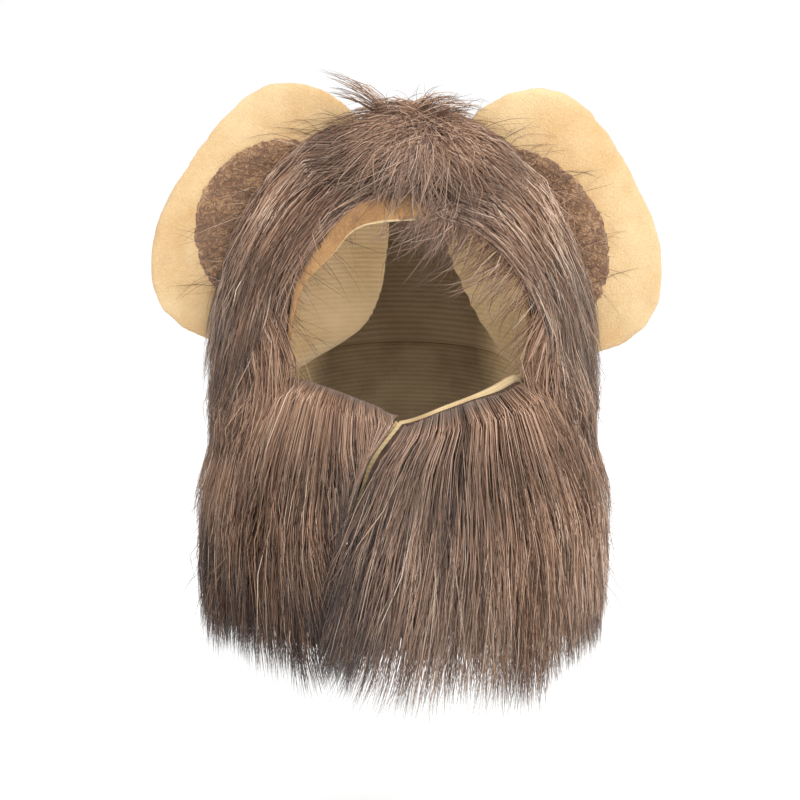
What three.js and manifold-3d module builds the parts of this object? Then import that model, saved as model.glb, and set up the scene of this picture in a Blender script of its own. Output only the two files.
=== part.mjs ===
// A lion mane wig for a cat or a small dog: a knitted hood with a pointed face opening, a neck band
// that wraps over itself in front, long-pile fur on both, and two big padded ears.
// Heights are counted from the neck seam, angles round the neck from the front towards the right ear,
// and the finished group is lowered so that the inside top of the hood is the origin.
import * as THREE from 'three';
import { mergeVertices } from 'three/addons/utils/BufferGeometryUtils.js';
import Module from 'manifold-3d';

const wasm = await Module();
wasm.setup();

// Driving dimensions, in millimetres.
const neckRadius = 48;
const hoodHeight = 98;
const clothWall = 2;
const gap = 0.3;
const collarHeight = 52;
const collarFlare = 8;
const collarLip = 5;
const flapOverlap = 22;
const tapeThickness = 1.4;
const tapeWidth = 12;
const tapeLength = 26;
const hemWidth = 8;
const hemThickness = 1.2;
const furDepth = 30;
const furRise = 55;
const hoodFurDrop = 36;
const fringeLength = 60;
const fringePoint = 9;
const lockWidth = 18;
const lockGroove = 0.22;
const earLength = 108;
const earReach = 50;
const earThickness = 6.5;
const earRim = 2.2;
const earSeat = 6;
const earTwist = 12;
const padThickness = 3;
const padRim = 1.2;
const tuftWidth = 9;
const tuftThickness = 4;

// The hood from its top down to the neck seam. up and out place the cloth's inner face in shares of
// hoodHeight and neckRadius, rise and spread are how far the fur's tips stand off in shares of
// furDepth, left and right are the depths of the two folds in shares of the local radius, and
// leftCrest and rightCrest are the folds' angles from the front.
const hoodRows = [
  { down: 0.00, up: 1.000, out: 0.00, rise: 0.36, spread: 0.00, left: 0.00, right: 0.00, leftCrest: 140, rightCrest: 130 },
  { down: 0.10, up: 0.985, out: 0.22, rise: 0.32, spread: 0.16, left: 0.00, right: 0.00, leftCrest: 140, rightCrest: 130 },
  { down: 0.20, up: 0.940, out: 0.46, rise: 0.24, spread: 0.29, left: 0.10, right: 0.10, leftCrest: 140, rightCrest: 130 },
  { down: 0.31, up: 0.860, out: 0.70, rise: 0.14, spread: 0.38, left: 0.46, right: 0.40, leftCrest: 140, rightCrest: 130 },
  { down: 0.42, up: 0.760, out: 0.88, rise: 0.05, spread: 0.48, left: 0.74, right: 0.62, leftCrest: 138, rightCrest: 128 },
  { down: 0.55, up: 0.620, out: 0.98, rise: 0.00, spread: 0.60, left: 0.84, right: 0.64, leftCrest: 134, rightCrest: 124 },
  { down: 0.68, up: 0.460, out: 1.02, rise: 0.00, spread: 0.73, left: 0.83, right: 0.58, leftCrest: 127, rightCrest: 117 },
  { down: 0.80, up: 0.300, out: 1.02, rise: 0.00, spread: 0.88, left: 0.78, right: 0.45, leftCrest: 118, rightCrest: 112 },
  { down: 0.90, up: 0.160, out: 1.01, rise: 0.00, spread: 1.00, left: 0.62, right: 0.30, leftCrest: 108, rightCrest: 107 },
  { down: 1.00, up: 0.000, out: 1.00, rise: 0.00, spread: 1.08, left: 0.14, right: 0.05, leftCrest: 104, rightCrest: 104 },
];

// Each fold starts at foldFront and dies out foldBack behind its crest, both in degrees.
const foldFront = 80;
const foldBack = 26;
const foldForm = {
  left: { bulge: 1.5, sharp: 1.0 },
  right: { bulge: 1.0, sharp: 1.15 },
};

// The face opening from its left foot over its top to its right foot, in shares of neckRadius and
// hoodHeight.
const openingRows = [
  { across: -0.95, up: 0.00 },
  { across: -0.93, up: 0.14 },
  { across: -0.84, up: 0.37 },
  { across: -0.75, up: 0.475 },
  { across: -0.54, up: 0.595 },
  { across: -0.41, up: 0.675 },
  { across: -0.24, up: 0.715 },
  { across: 0.06, up: 0.73 },
  { across: 0.42, up: 0.72 },
  { across: 0.60, up: 0.68 },
  { across: 0.74, up: 0.60 },
  { across: 0.89, up: 0.48 },
  { across: 0.98, up: 0.35 },
  { across: 1.03, up: 0.15 },
  { across: 1.03, up: 0.00 },
];
const openingDepth = 0.17;

// The neck band's upper edge round the front, lift in shares of collarLip.
const lipRows = [
  { angle: -66, lift: 0.0 },
  { angle: -58, lift: 0.8 },
  { angle: -35, lift: 0.8 },
  { angle: -15, lift: 0.0 },
  { angle: 0, lift: -0.9 },
  { angle: 18, lift: 0.2 },
  { angle: 39, lift: 1.0 },
  { angle: 62, lift: 1.1 },
  { angle: 75, lift: 0.0 },
];

// The free edge of the right flap, fall in shares of collarHeight below the neck seam.
const slitRows = [
  { fall: 0.00, angle: 2 },
  { fall: 0.08, angle: -1 },
  { fall: 0.35, angle: -12 },
  { fall: 0.58, angle: -16 },
  { fall: 0.87, angle: -20 },
  { fall: 1.00, angle: -21 },
  { fall: 2.30, angle: -26 },
];
const slantReach = 70;

// The pile below the band's upper edge, below in shares of furRise, depth in shares of furDepth.
const pileRows = [
  { below: 0.00, depth: 0.06 },
  { below: 0.15, depth: 0.30 },
  { below: 0.36, depth: 0.52 },
  { below: 0.64, depth: 0.68 },
  { below: 1.00, depth: 0.77 },
  { below: 1.55, depth: 0.82 },
  { below: 2.20, depth: 0.80 },
];

// Where the outer edge of a lane of face fur lies, as an angle from the front: it starts just past the
// parting, swings back over the top and comes down behind the ear seam.
const laneRows = [
  { down: 0.00, angle: -6 },
  { down: 0.03, angle: 70 },
  { down: 0.07, angle: 128 },
  { down: 0.13, angle: 148 },
  { down: 0.22, angle: 134 },
  { down: 0.34, angle: 112 },
  { down: 0.48, angle: 102 },
  { down: 0.65, angle: 98 },
  { down: 0.82, angle: 98 },
  { down: 0.97, angle: 98 },
  { down: 1.40, angle: 98 },
];

// How much of the hem the face fur leaves in sight, and its depth along that edge in shares of its
// full depth.
const laneForm = {
  left: { hemShown: 1.0, edgeDepth: 0.16 },
  right: { hemShown: 0.1, edgeDepth: 0.36 },
};
const laneLocks = 6;
const laneTop = 0.02;
const laneRound = 0.6;
const drapeTurn = 30;
const backLocks = 13;
const backStart = 84;

// An ear's outline from the upper end of its seam round to the lower end, then its hidden root:
// along in shares of earLength, out in shares of earReach.
const earRows = [
  { along: 0.00, out: 0.00 },
  { along: -0.035, out: 0.26 },
  { along: -0.015, out: 0.55 },
  { along: 0.05, out: 0.80 },
  { along: 0.16, out: 0.94 },
  { along: 0.34, out: 1.00 },
  { along: 0.52, out: 0.98 },
  { along: 0.70, out: 0.92 },
  { along: 0.86, out: 0.76 },
  { along: 0.97, out: 0.54 },
  { along: 1.01, out: 0.28 },
  { along: 0.99, out: 0.00 },
  { along: 0.88, out: -0.42 },
  { along: 0.60, out: -1.00 },
  { along: 0.30, out: -1.00 },
  { along: 0.08, out: -0.42 },
];

// The two ears: the upper and lower ends of the seam, across in shares of neckRadius and up in shares
// of hoodHeight, how far the ear spreads in shares of earReach, and the pad's middle and half sizes
// in shares of earLength and earReach.
const earSeats = {
  left: {
    side: -1, topAcross: 0.28, topUp: 0.98, footAcross: 1.66, footUp: 0.13, spread: 0.98,
    padAlong: 0.47, padOut: 0.10, padHalf: 0.335, padReach: 0.66,
  },
  right: {
    side: 1, topAcross: 0.47, topUp: 0.99, footAcross: 1.62, footUp: 0.09, spread: 0.98,
    padAlong: 0.47, padOut: 0.00, padHalf: 0.36, padReach: 0.60,
  },
};

// The loose locks on top: their angle, how far down the hood they reach, how high their tips lift
// and how wide they are, lift in shares of furDepth and width in shares of tuftWidth.
const tuftRows = [
  { angle: -88, to: 0.24, lift: 0.90, width: 0.7 },
  { angle: -74, to: 0.22, lift: 0.50, width: 0.7 },
  { angle: -40, to: 0.30, lift: 0.04, width: 1.0 },
  { angle: -12, to: 0.33, lift: 0.02, width: 0.9 },
  { angle: 12, to: 0.36, lift: 0.02, width: 0.9 },
  { angle: 42, to: 0.30, lift: 0.04, width: 1.0 },
  { angle: 78, to: 0.24, lift: 0.16, width: 1.0 },
  { angle: 98, to: 0.20, lift: 0.10, width: 0.9 },
  { angle: 140, to: 0.28, lift: 0.04, width: 1.0 },
  { angle: 180, to: 0.30, lift: 0.03, width: 1.0 },
  { angle: -140, to: 0.28, lift: 0.04, width: 1.0 },
];

const lerp = THREE.MathUtils.lerp;
const clamp = THREE.MathUtils.clamp;
const smooth = THREE.MathUtils.smoothstep;

// The value of a column between the rows of a table, on a smooth line through them.
function read(rows, key, column, at) {
  const last = rows.length - 1;
  const place = clamp(at, rows[0][key], rows[last][key]);
  const upper = Math.max(1, rows.findIndex((row) => row[key] >= place));
  const slope = (i) => {
    const before = rows[Math.max(i - 1, 0)];
    const after = rows[Math.min(i + 1, last)];
    return (after[column] - before[column]) / (after[key] - before[key]);
  };
  const from = rows[upper - 1];
  const to = rows[upper];
  const span = to[key] - from[key];
  const t = (place - from[key]) / span;
  const t2 = t * t;
  const t3 = t2 * t;
  return from[column] * (2 * t3 - 3 * t2 + 1) + slope(upper - 1) * span * (t3 - 2 * t2 + t)
    + to[column] * (3 * t2 - 2 * t3) + slope(upper) * span * (t3 - t2);
}

const hood = (column, down) => read(hoodRows, 'down', column, down);

// The point at an angle round the neck.
function around(angle, radius, height) {
  const turn = THREE.MathUtils.degToRad(angle);
  return new THREE.Vector3(radius * Math.sin(turn), -radius * Math.cos(turn), height);
}

// A repeatable irregular number between 0 and 1 for the n-th lock.
function uneven(n) {
  const wave = Math.sin(n * 12.9898 + 4.1) * 43758.5453;
  return wave - Math.floor(wave);
}

// One closed body from its corner points and the triangles between them.
function solidOf(points, triangles) {
  const geometry = new THREE.BufferGeometry();
  geometry.setAttribute('position', new THREE.Float32BufferAttribute(points.flatMap((p) => p.toArray()), 3));
  geometry.setIndex(triangles);
  return solidFrom(geometry);
}

// A three.js shape as a solid that can be joined and cut.
function solidFrom(geometry) {
  geometry.deleteAttribute('normal');
  geometry.deleteAttribute('uv');
  const merged = mergeVertices(geometry, 1e-4);
  const corners = merged.index.array;
  const kept = [];
  for (let i = 0; i < corners.length; i += 3) {
    const [a, b, c] = corners.slice(i, i + 3);
    if (a !== b && b !== c && c !== a) {
      kept.push(a, b, c);
    }
  }
  return new wasm.Manifold(new wasm.Mesh({
    numProp: 3,
    vertProperties: new Float32Array(merged.attributes.position.array),
    triVerts: new Uint32Array(kept),
  }));
}

// A closed skin round an axis: place(share round, station) gives its points, and the first and last
// stations each shrink to one point.
function roundSolid(steps, stations, place) {
  const points = [];
  const triangles = [];
  for (let j = 0; j <= stations; j += 1) {
    for (let i = 0; i < steps; i += 1) {
      points.push(place(i / steps, j));
    }
  }
  for (let j = 0; j < stations; j += 1) {
    for (let i = 0; i < steps; i += 1) {
      const a = j * steps + i;
      const b = j * steps + (i + 1) % steps;
      triangles.push(a, a + steps, b, b, a + steps, b + steps);
    }
  }
  return solidOf(points, triangles);
}

// A closed sheet with two faces: place(share across, share down, layer) gives its points, layer 0
// being the inner face and layer 1 the outer one.
function sheetSolid(acrossSteps, downShares, place) {
  const points = [];
  const triangles = [];
  const row = acrossSteps + 1;
  const rows = downShares.length;
  const face = row * rows;
  const quad = (a, b, c, d) => triangles.push(a, b, c, a, c, d);
  [0, 1].forEach((layer) => downShares.forEach((down) => {
    for (let i = 0; i <= acrossSteps; i += 1) {
      points.push(place(i / acrossSteps, down, layer));
    }
  }));
  for (let j = 0; j < rows - 1; j += 1) {
    for (let i = 0; i < acrossSteps; i += 1) {
      const a = j * row + i;
      quad(a, a + 1, a + row + 1, a + row);
      quad(face + a, face + a + row, face + a + row + 1, face + a + 1);
    }
    const start = j * row;
    const end = start + acrossSteps;
    quad(start, start + row, face + start + row, face + start);
    quad(end, face + end, face + end + row, end + row);
  }
  for (let i = 0; i < acrossSteps; i += 1) {
    const foot = (rows - 1) * row + i;
    quad(i, face + i, face + i + 1, i + 1);
    quad(foot, foot + 1, face + foot + 1, face + foot);
  }
  return solidOf(points, triangles);
}

// A box between two corners.
function blockSolid(low, high) {
  const size = high.clone().sub(low);
  const box = new THREE.BoxGeometry(size.x, size.y, size.z);
  box.translate(low.x + size.x / 2, low.y + size.y / 2, low.z + size.z / 2);
  return solidFrom(box);
}

// How far down the hood a height lies.
function downAt(height) {
  let low = 0;
  let high = 1;
  for (let i = 0; i < 24; i += 1) {
    const middle = (low + high) / 2;
    if (hood('up', middle) * hoodHeight > height) {
      low = middle;
    } else {
      high = middle;
    }
  }
  return (low + high) / 2;
}

// How deep the folds push the cloth in, as a share of the local radius.
function foldAt(angle, down) {
  const side = angle < 0 ? 'left' : 'right';
  const turn = Math.abs(angle);
  const crest = hood(`${side}Crest`, down);
  if (turn <= foldFront || turn >= crest + foldBack) {
    return 0;
  }
  const away = turn < crest ? (crest - turn) / (crest - foldFront) : (turn - crest) / foldBack;
  const form = foldForm[side];
  return Math.max(0, hood(side, down)) * (1 - away ** form.bulge) ** form.sharp;
}

// A point of the hood's cloth, standing off its inner face.
function clothPoint(angle, down, stand) {
  const outward = Math.min(1, hood('out', down));
  const upward = Math.sqrt(1 - outward * outward);
  const radius = neckRadius * Math.max(0, hood('out', down)) * (1 - foldAt(angle, down));
  return around(angle, radius + stand * outward, hoodHeight * hood('up', down) + stand * upward);
}

// The columns of the hood's cloth: their angles follow the folds' crests.
const foldSteps = [0, 0.2, 0.4, 0.6, 0.8, 1, 1.2, 1.4, 1.6, 1.8, 2, 2.33, 2.67, 3, 3.5, 4];

function clothAngle(share, down) {
  const half = foldSteps.length - 1;
  const step = Math.round(share * 2 * half);
  const place = foldSteps[step <= half ? step : 2 * half - step];
  const crest = hood(step <= half ? 'rightCrest' : 'leftCrest', down);
  const marks = [0, foldFront, crest, crest + foldBack, 180, 180];
  const whole = Math.floor(place);
  const angle = lerp(marks[whole], marks[whole + 1], place - whole);
  return step <= half ? angle : -angle;
}

const clothShares = [0, 0.06, 0.14, 0.22, 0.31, 0.42, 0.55, 0.68, 0.80, 0.90, 1];

function clothSkin(inner, outer) {
  const last = clothShares.length - 1;
  return roundSolid((foldSteps.length - 1) * 2, last * 2 + 1, (share, station) => {
    const isOuter = station <= last;
    const down = clothShares[isOuter ? station : 2 * last + 1 - station];
    return clothPoint(clothAngle(share, down), down, isOuter ? outer : inner);
  });
}

// The hood's outside as one block, grown by a clearance.
function hoodCore(clearance) {
  const last = clothShares.length;
  return roundSolid((foldSteps.length - 1) * 2, last, (share, station) => {
    if (station === last) {
      return new THREE.Vector3(0, 0, 0);
    }
    const down = clothShares[station];
    return clothPoint(clothAngle(share, down), down, clothWall + clearance);
  });
}

// The face opening's edge in front elevation, share 0 at its left foot and 1 at its right foot.
const openingLine = new THREE.CatmullRomCurve3(openingRows.map((row) => (
  new THREE.Vector3(row.across * neckRadius, 0, row.up * hoodHeight))));
const openingMiddle = new THREE.Vector3(0, 0, hoodHeight * 0.3);

const openingPoint = (share) => openingLine.getPointAt(clamp(share, 0, 1));

// The hem is full width over the top and narrow at the feet.
function hemAt(share) {
  return hemWidth * lerp(1, 0.25, smooth(Math.abs(share - 0.5), 0.12, 0.42));
}

// Where the opening's edge lies on the hood, moved outwards over the cloth: its angle and how far down
// it is. The edge goes no further round than edgeLimit, a share of the hood's half width.
const edgeLimit = 0.975;

function hoodEdge(share, margin) {
  const point = openingPoint(share);
  const outward = point.clone().sub(openingMiddle).normalize();
  const radius = neckRadius * hood('out', downAt(point.z)) + clothWall;
  const angle = Math.asin(clamp(point.x / radius, -edgeLimit, edgeLimit)) + outward.x * margin / radius;
  return { angle: THREE.MathUtils.radToDeg(angle), down: downAt(point.z + outward.z * margin) };
}

function openingCutter() {
  const shape = new THREE.Shape();
  const count = 32;
  shape.moveTo(openingPoint(0).x, -clothWall);
  for (let i = 0; i <= count; i += 1) {
    const point = openingPoint(i / count);
    shape.lineTo(point.x, point.z);
  }
  shape.lineTo(openingPoint(1).x, -clothWall);
  const depth = 2 * neckRadius;
  const prism = new THREE.ExtrudeGeometry(shape, { depth, bevelEnabled: false });
  prism.rotateX(Math.PI / 2);
  prism.translate(0, -openingDepth * neckRadius, 0);
  return solidFrom(prism);
}

function hoodBacking() {
  return clothSkin(0, clothWall).subtract(openingCutter());
}

function openingHem(clearance) {
  const foot = 0.03 * (1 - clearance);
  return sheetSolid(30, [0, 1], (share, across, layer) => {
    const along = lerp(1 - foot, foot, share);
    const margin = lerp(-clearance, hemAt(along) + clearance, across);
    const { angle, down } = hoodEdge(along, margin);
    const base = clothWall + 2 * gap;
    return clothPoint(angle, down, layer === 1 ? base + hemThickness + clearance : base - 5 * clearance);
  });
}

// The neck band runs from the right flap's free edge (turn 0) round the back to the left flap, which
// ends below the right one (turn 360 and more).
const bandTurn = 360 + flapOverlap;
const flapLift = clothWall + tapeThickness + 2 * gap;

function slitAngle(height) {
  return read(slitRows, 'fall', 'angle', -height / collarHeight);
}

function bandAngle(turn, height) {
  const away = Math.min(turn, Math.max(0, 360 - turn));
  const closeness = clamp(1 - away / slantReach, 0, 1) ** 2;
  return turn + slitAngle(height) * closeness;
}

function bandLift(turn) {
  return flapLift * (1 - smooth(turn, flapOverlap + 6, flapOverlap + 44));
}

function bandRadius(height) {
  return neckRadius + collarFlare * clamp(-height / collarHeight, 0, 1);
}

// An angle counted between -180 and 180 degrees.
function signed(angle) {
  return angle > 180 ? angle - 360 : angle;
}

function bandTop(angle) {
  const side = signed(angle);
  const covered = side <= lipRows[0].angle || side >= lipRows[lipRows.length - 1].angle;
  return covered ? -gap : collarLip * read(lipRows, 'angle', 'lift', side) - gap;
}

function collarBacking() {
  const steps = 48;
  return sheetSolid(steps, [0, 0.12, 0.45, 1], (share, down, layer) => {
    const turn = share * bandTurn;
    const top = bandTop(bandAngle(turn, 0) % 360);
    const height = lerp(top, -collarHeight, down);
    const radius = bandRadius(height) + bandLift(turn) + layer * clothWall;
    return around(bandAngle(turn, height), radius, height);
  });
}

// The hidden fastening lies between the flaps.
function closureTape() {
  const middle = -collarHeight * 0.55;
  const halfTurn = THREE.MathUtils.radToDeg(tapeWidth / 2 / neckRadius);
  return sheetSolid(4, [0, 0.5, 1], (share, down, layer) => {
    const height = middle + tapeLength * (0.5 - down);
    const turn = flapOverlap * 0.5 + lerp(-halfTurn, halfTurn, share);
    const radius = bandRadius(height) + clothWall + gap + layer * tapeThickness;
    return around(bandAngle(turn, height), radius, height);
  });
}

// The lowest and highest faces of the pile on the neck band.
function bandFurRadius(angle, height, turn) {
  const below = (bandTop(angle) - height) / furRise;
  const cloth = bandRadius(height) + clothWall + 2 * gap + bandLift(turn);
  return cloth + furDepth * read(pileRows, 'below', 'depth', below);
}

// How deep the groove between two locks is, and how far down a lock's point reaches.
function grooveAt(lock) {
  return Math.abs(((lock % 1) + 1) % 1 - 0.5) * 2 > 0.7 ? 1 : 0;
}

const lockColumns = 3;

function collarFur(clearance) {
  const locks = Math.round(2 * Math.PI * (neckRadius + furDepth) / lockWidth);
  const hem = -(collarHeight + fringeLength);
  const start = 1.5;
  const turns = 360 - 2 * start;
  return sheetSolid(locks * lockColumns, [0, 0.08, 0.22, 0.45, 0.8, 1], (share, down, layer) => {
    const lock = share * locks;
    const turn = start + turns * share;
    const groove = grooveAt(lock);
    const top = bandTop(bandAngle(turn, 0) % 360) - 1 + clearance;
    const length = hem + fringePoint * (groove - 0.8 * uneven(Math.floor(lock))) - top;
    const height = top + length * down;
    const sway = 1.5 * Math.sin(Math.floor(lock) * 2.1) * down * down;
    const angle = bandAngle(turn, height);
    const seam = smooth(Math.min(turn, 360 - turn), 0, 16);
    const outer = bandFurRadius(signed(angle), height, turn);
    const inner = bandRadius(height) + clothWall + 2 * gap + bandLift(turn)
      + furDepth * 0.45 * smooth(-height, collarHeight, -hem);
    const grooved = lerp(outer, inner, groove * lockGroove * smooth(down, 0, 0.3));
    const edge = lerp(lerp(inner, grooved, 0.5), grooved, seam);
    const closed = lerp(edge, (inner + edge) / 2, smooth(down, 0.84, 1) * 0.8);
    const open = lerp(inner, (inner + edge) / 2, smooth(down, 0.84, 1) * 0.8);
    return around(angle + sway, layer === 1 ? closed + clearance : open, height);
  });
}

// A point of the hood's fur: layer 0 at the roots and layer 1 at the tips. The roots are sunk below
// the cloth's face, which then cuts them off. Below the neck seam the fur lies on the band's pile.
const drapeDown = 0.36;
const rootSink = 8;
const hoodFoot = 0.97;
const foldFoot = 0.9;

function furPoint(angle, down, layer, clearance) {
  if (down <= hoodFoot) {
    const sink = layer === 0 ? rootSink : 0;
    const root = down < foldFoot
      ? clothPoint(angle, down, clothWall + 2 * gap - sink)
      : around(angle, neckRadius * hood('out', down) + clothWall + 2 * gap, hoodHeight * hood('up', down));
    const outward = Math.min(1, hood('out', down));
    const radius = neckRadius * hood('out', down) + furDepth * hood('spread', down) + clearance * outward;
    const height = hoodHeight * hood('up', down) + furDepth * hood('rise', down);
    return root.lerp(around(angle, radius, height + clearance * Math.sqrt(1 - outward * outward)), layer);
  }
  const drop = (down - 1) / drapeDown * hoodFurDrop;
  const height = Math.min(gap, -drop);
  const rest = bandFurRadius(signed(angle), height, angle < 0 ? angle + 360 : angle) + 1.6;
  const free = neckRadius + furDepth * hood('spread', 1);
  const fade = smooth(down, 1 + drapeDown * 0.35, 1 + drapeDown);
  return around(angle, lerp(rest, lerp(free, rest + 2.5, fade), layer) + clearance * layer, height);
}

// The fur band on one side of the face. Its lanes run from the parting on top, between the opening's
// edge and the ear seam, down over the neck band. Both run on past the planes that part them.
function lanePoint(side, across, down, layer) {
  const form = laneForm[side < 0 ? 'left' : 'right'];
  const share = 0.5 + side * 0.5 * Math.min(down, 1);
  const margin = form.hemShown * hemAt(share) + 4 * gap;
  const edge = hoodEdge(share, margin);
  const pastParting = laneRows[0].angle;
  const innerAngle = down === 0 ? pastParting : Math.abs(edge.angle) - Math.max(0, down - 1) * drapeTurn;
  const outerAngle = read(laneRows, 'down', 'angle', down);
  const innerDown = down <= hoodFoot ? edge.down : down;
  const outerDown = down <= hoodFoot ? Math.max(laneTop, down) : down;
  const angle = side * lerp(innerAngle, outerAngle, across);
  const depth = lerp(form.edgeDepth, 1, Math.sin(Math.min(1, across / laneRound) * Math.PI / 2));
  return furPoint(angle, lerp(innerDown, outerDown, across), layer * depth, 0);
}

// Below the neck seam each lock ends in a point of its own length. The grooves between locks fade
// out towards the top.
function lockDown(down, lock, groove) {
  return down > 1 ? 1 + (down - 1) * (1 + 0.4 * uneven(lock) - 0.35 * groove) : down;
}

function lockDepth(down, reach, groove) {
  return 1 - groove * lockGroove * smooth(down, 0.1, 0.4) - 0.5 * smooth(down, 1.1, reach);
}

function laneFur(side) {
  const shares = [...laneRows.map((row) => row.down).filter((down) => down < 1), 1.05, 1.26];
  const reach = shares[shares.length - 1];
  return sheetSolid(laneLocks * lockColumns, shares, (share, down, layer) => {
    const lock = share * laneLocks;
    const groove = grooveAt(lock);
    const across = side < 0 ? 1 - share : share;
    const length = lockDown(down, Math.floor(lock) + 3, groove);
    return lanePoint(side, across, length, layer * lockDepth(down, reach, groove));
  });
}

// The fur on the back of the hood, in lanes straight down from the top.
function backFur() {
  const shares = [0.03, 0.14, 0.28, 0.44, 0.62, 0.80, 0.97, 1.05, 1.26];
  const reach = shares[shares.length - 1];
  return sheetSolid(backLocks * lockColumns, shares, (share, down, layer) => {
    const lock = share * backLocks;
    const groove = grooveAt(lock);
    const angle = lerp(backStart, 360 - backStart, share);
    const length = lockDown(down, Math.floor(lock) + 11, groove);
    return furPoint(signed(angle), length, layer * lockDepth(down, reach, groove), 0);
  });
}

// An ear lies in a frame of its own: along its seam, out from it, and through its thickness.
function earFrame(seat) {
  const top = new THREE.Vector3(seat.side * seat.topAcross * neckRadius, 0, seat.topUp * hoodHeight);
  const foot = new THREE.Vector3(seat.side * seat.footAcross * neckRadius, 0, seat.footUp * hoodHeight);
  const along = foot.clone().sub(top).normalize();
  const out = new THREE.Vector3(-along.z * seat.side, 0, along.x * seat.side);
  return { top, along, out };
}

function earPoint(seat, frame, along, out, through) {
  const curl = earTwist * clamp(out / earReach, 0, 1.2) ** 2 * (0.45 - along / earLength);
  return frame.top.clone().addScaledVector(frame.along, along).addScaledVector(frame.out, out)
    .setY(earSeat + curl + through);
}

// Half the ear's thickness: plump in the middle and thin towards the rim.
function earHalf(along, out) {
  const alongShare = Math.abs(along / earLength - 0.5) / 0.53;
  const outShare = Math.max(0, out) / earReach;
  const plump = Math.max(0, 1 - alongShare ** 4) * Math.max(0, 1 - outShare ** 4);
  return lerp(earRim, earThickness, Math.sqrt(plump)) / 2;
}

const earLine = new THREE.CatmullRomCurve3(earRows.map((row) => (
  new THREE.Vector3(row.along * earLength, row.out * earReach, 0))), true);
const earMiddle = new THREE.Vector3(earLength * 0.5, earReach * 0.2, 0);

function earPlate(seat, clearance) {
  const frame = earFrame(seat);
  const rings = [0, 0.55, 0.88, 1, 1, 0.88, 0.55, 0];
  return roundSolid(28, rings.length - 1, (share, station) => {
    const rim = earLine.getPointAt(seat.side < 0 ? share : 1 - share);
    const reach = rim.clone().sub(earMiddle);
    const ring = earMiddle.clone().addScaledVector(reach, rings[station] * (1 + clearance / reach.length()));
    const out = ring.y * (ring.y > 0 ? seat.spread : 1);
    const face = station < rings.length / 2 ? -1 : 1;
    return earPoint(seat, frame, ring.x, out, face * (earHalf(ring.x, out) + clearance));
  });
}

function earPad(seat, clearance) {
  const frame = earFrame(seat);
  const rings = [0, 0.5, 0.82, 0.97, 1, 0.97, 0.5, 0];
  return roundSolid(24, rings.length - 1, (share, station) => {
    const turn = (seat.side < 0 ? 1 - share : share) * 2 * Math.PI;
    const ring = rings[station];
    const along = earLength * seat.padAlong + (earLength * seat.padHalf + clearance) * ring * Math.cos(turn);
    const reach = earReach * seat.padReach * (Math.sin(turn) < 0 ? 0.5 : 1) + clearance;
    const out = earReach * seat.padOut + reach * ring * Math.sin(turn);
    const rise = station < 5 ? lerp(padRim, padThickness, Math.sqrt(1 - ring * ring)) + clearance : -clearance;
    return earPoint(seat, frame, along, out, -(earHalf(along, out) + gap + rise));
  });
}

// One loose lock on top of the head.
function tuftLock(row) {
  const count = 4;
  const path = [];
  for (let i = 0; i <= count; i += 1) {
    const share = i / count;
    const point = furPoint(row.angle, lerp(0.02, row.to, share), 1, 0);
    point.z += tuftThickness * 0.3 + furDepth * row.lift * share * share;
    path.push(point);
  }
  const line = new THREE.CatmullRomCurve3(path);
  const side = around(row.angle + 90, 1, 0);
  return roundSolid(5, count + 1, (share, station) => {
    const at = clamp((station - 0.5) / count, 0, 1);
    const ends = station === 0 || station > count;
    const middle = line.getPointAt(ends ? Math.round(at) : at);
    const normal = line.getTangentAt(at).cross(side).normalize();
    const size = ends ? 0 : Math.sin(Math.PI * (0.25 + 0.72 * at));
    const turn = share * 2 * Math.PI;
    return middle.addScaledVector(side, Math.cos(turn) * tuftWidth * row.width * size / 2)
      .addScaledVector(normal, -Math.sin(turn) * tuftThickness * size / 2);
  });
}

function tuftCap() {
  const centre = furPoint(0, 0, 1, 0);
  return roundSolid(12, 6, (share, station) => {
    const polar = station / 6 * Math.PI;
    const ring = around(share * 360, tuftWidth * 1.3 * Math.sin(polar), tuftThickness * Math.cos(polar));
    return ring.add(centre);
  });
}

// The top of the fur as a smooth block that the tuft lies on.
function crownBlock() {
  const shares = [0, 0.06, 0.12, 0.19, 0.27, 0.36, 0.45];
  return roundSolid(24, shares.length, (share, station) => (
    station < shares.length
      ? furPoint(signed(share * 360), shares[station], 1, gap + 0.2)
      : new THREE.Vector3(0, 0, hoodHeight * hood('up', shares[shares.length - 1]))));
}

function join(solids) {
  return solids.reduce((whole, solid) => whole.add(solid));
}

// A half-space that keeps its distance to the hood's dividing planes.
function region(lowX, highX, lowY, highY) {
  const far = 3 * (neckRadius + furDepth);
  return blockSolid(
    new THREE.Vector3(lowX ?? -far, lowY ?? -far, -far),
    new THREE.Vector3(highX ?? far, highY ?? far, far),
  );
}

function meshOf(name, solid, colour, roughness) {
  const { vertProperties, triVerts } = solid.getMesh();
  const geometry = new THREE.BufferGeometry();
  geometry.setAttribute('position', new THREE.BufferAttribute(vertProperties, 3));
  geometry.setIndex(new THREE.BufferAttribute(triVerts, 1));
  geometry.computeVertexNormals();
  const material = new THREE.MeshStandardMaterial({ color: colour, roughness, metalness: 0 });
  const mesh = new THREE.Mesh(geometry, material);
  mesh.name = name;
  return mesh;
}

const creamKnit = '#dac69c';
const goldenCloth = '#bd9465';
const maneBrown = '#7b6353';
const goldPlush = '#f0d4a1';
const curlyBrown = '#9a7b5d';
const tapeGrey = '#5c5650';

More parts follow.
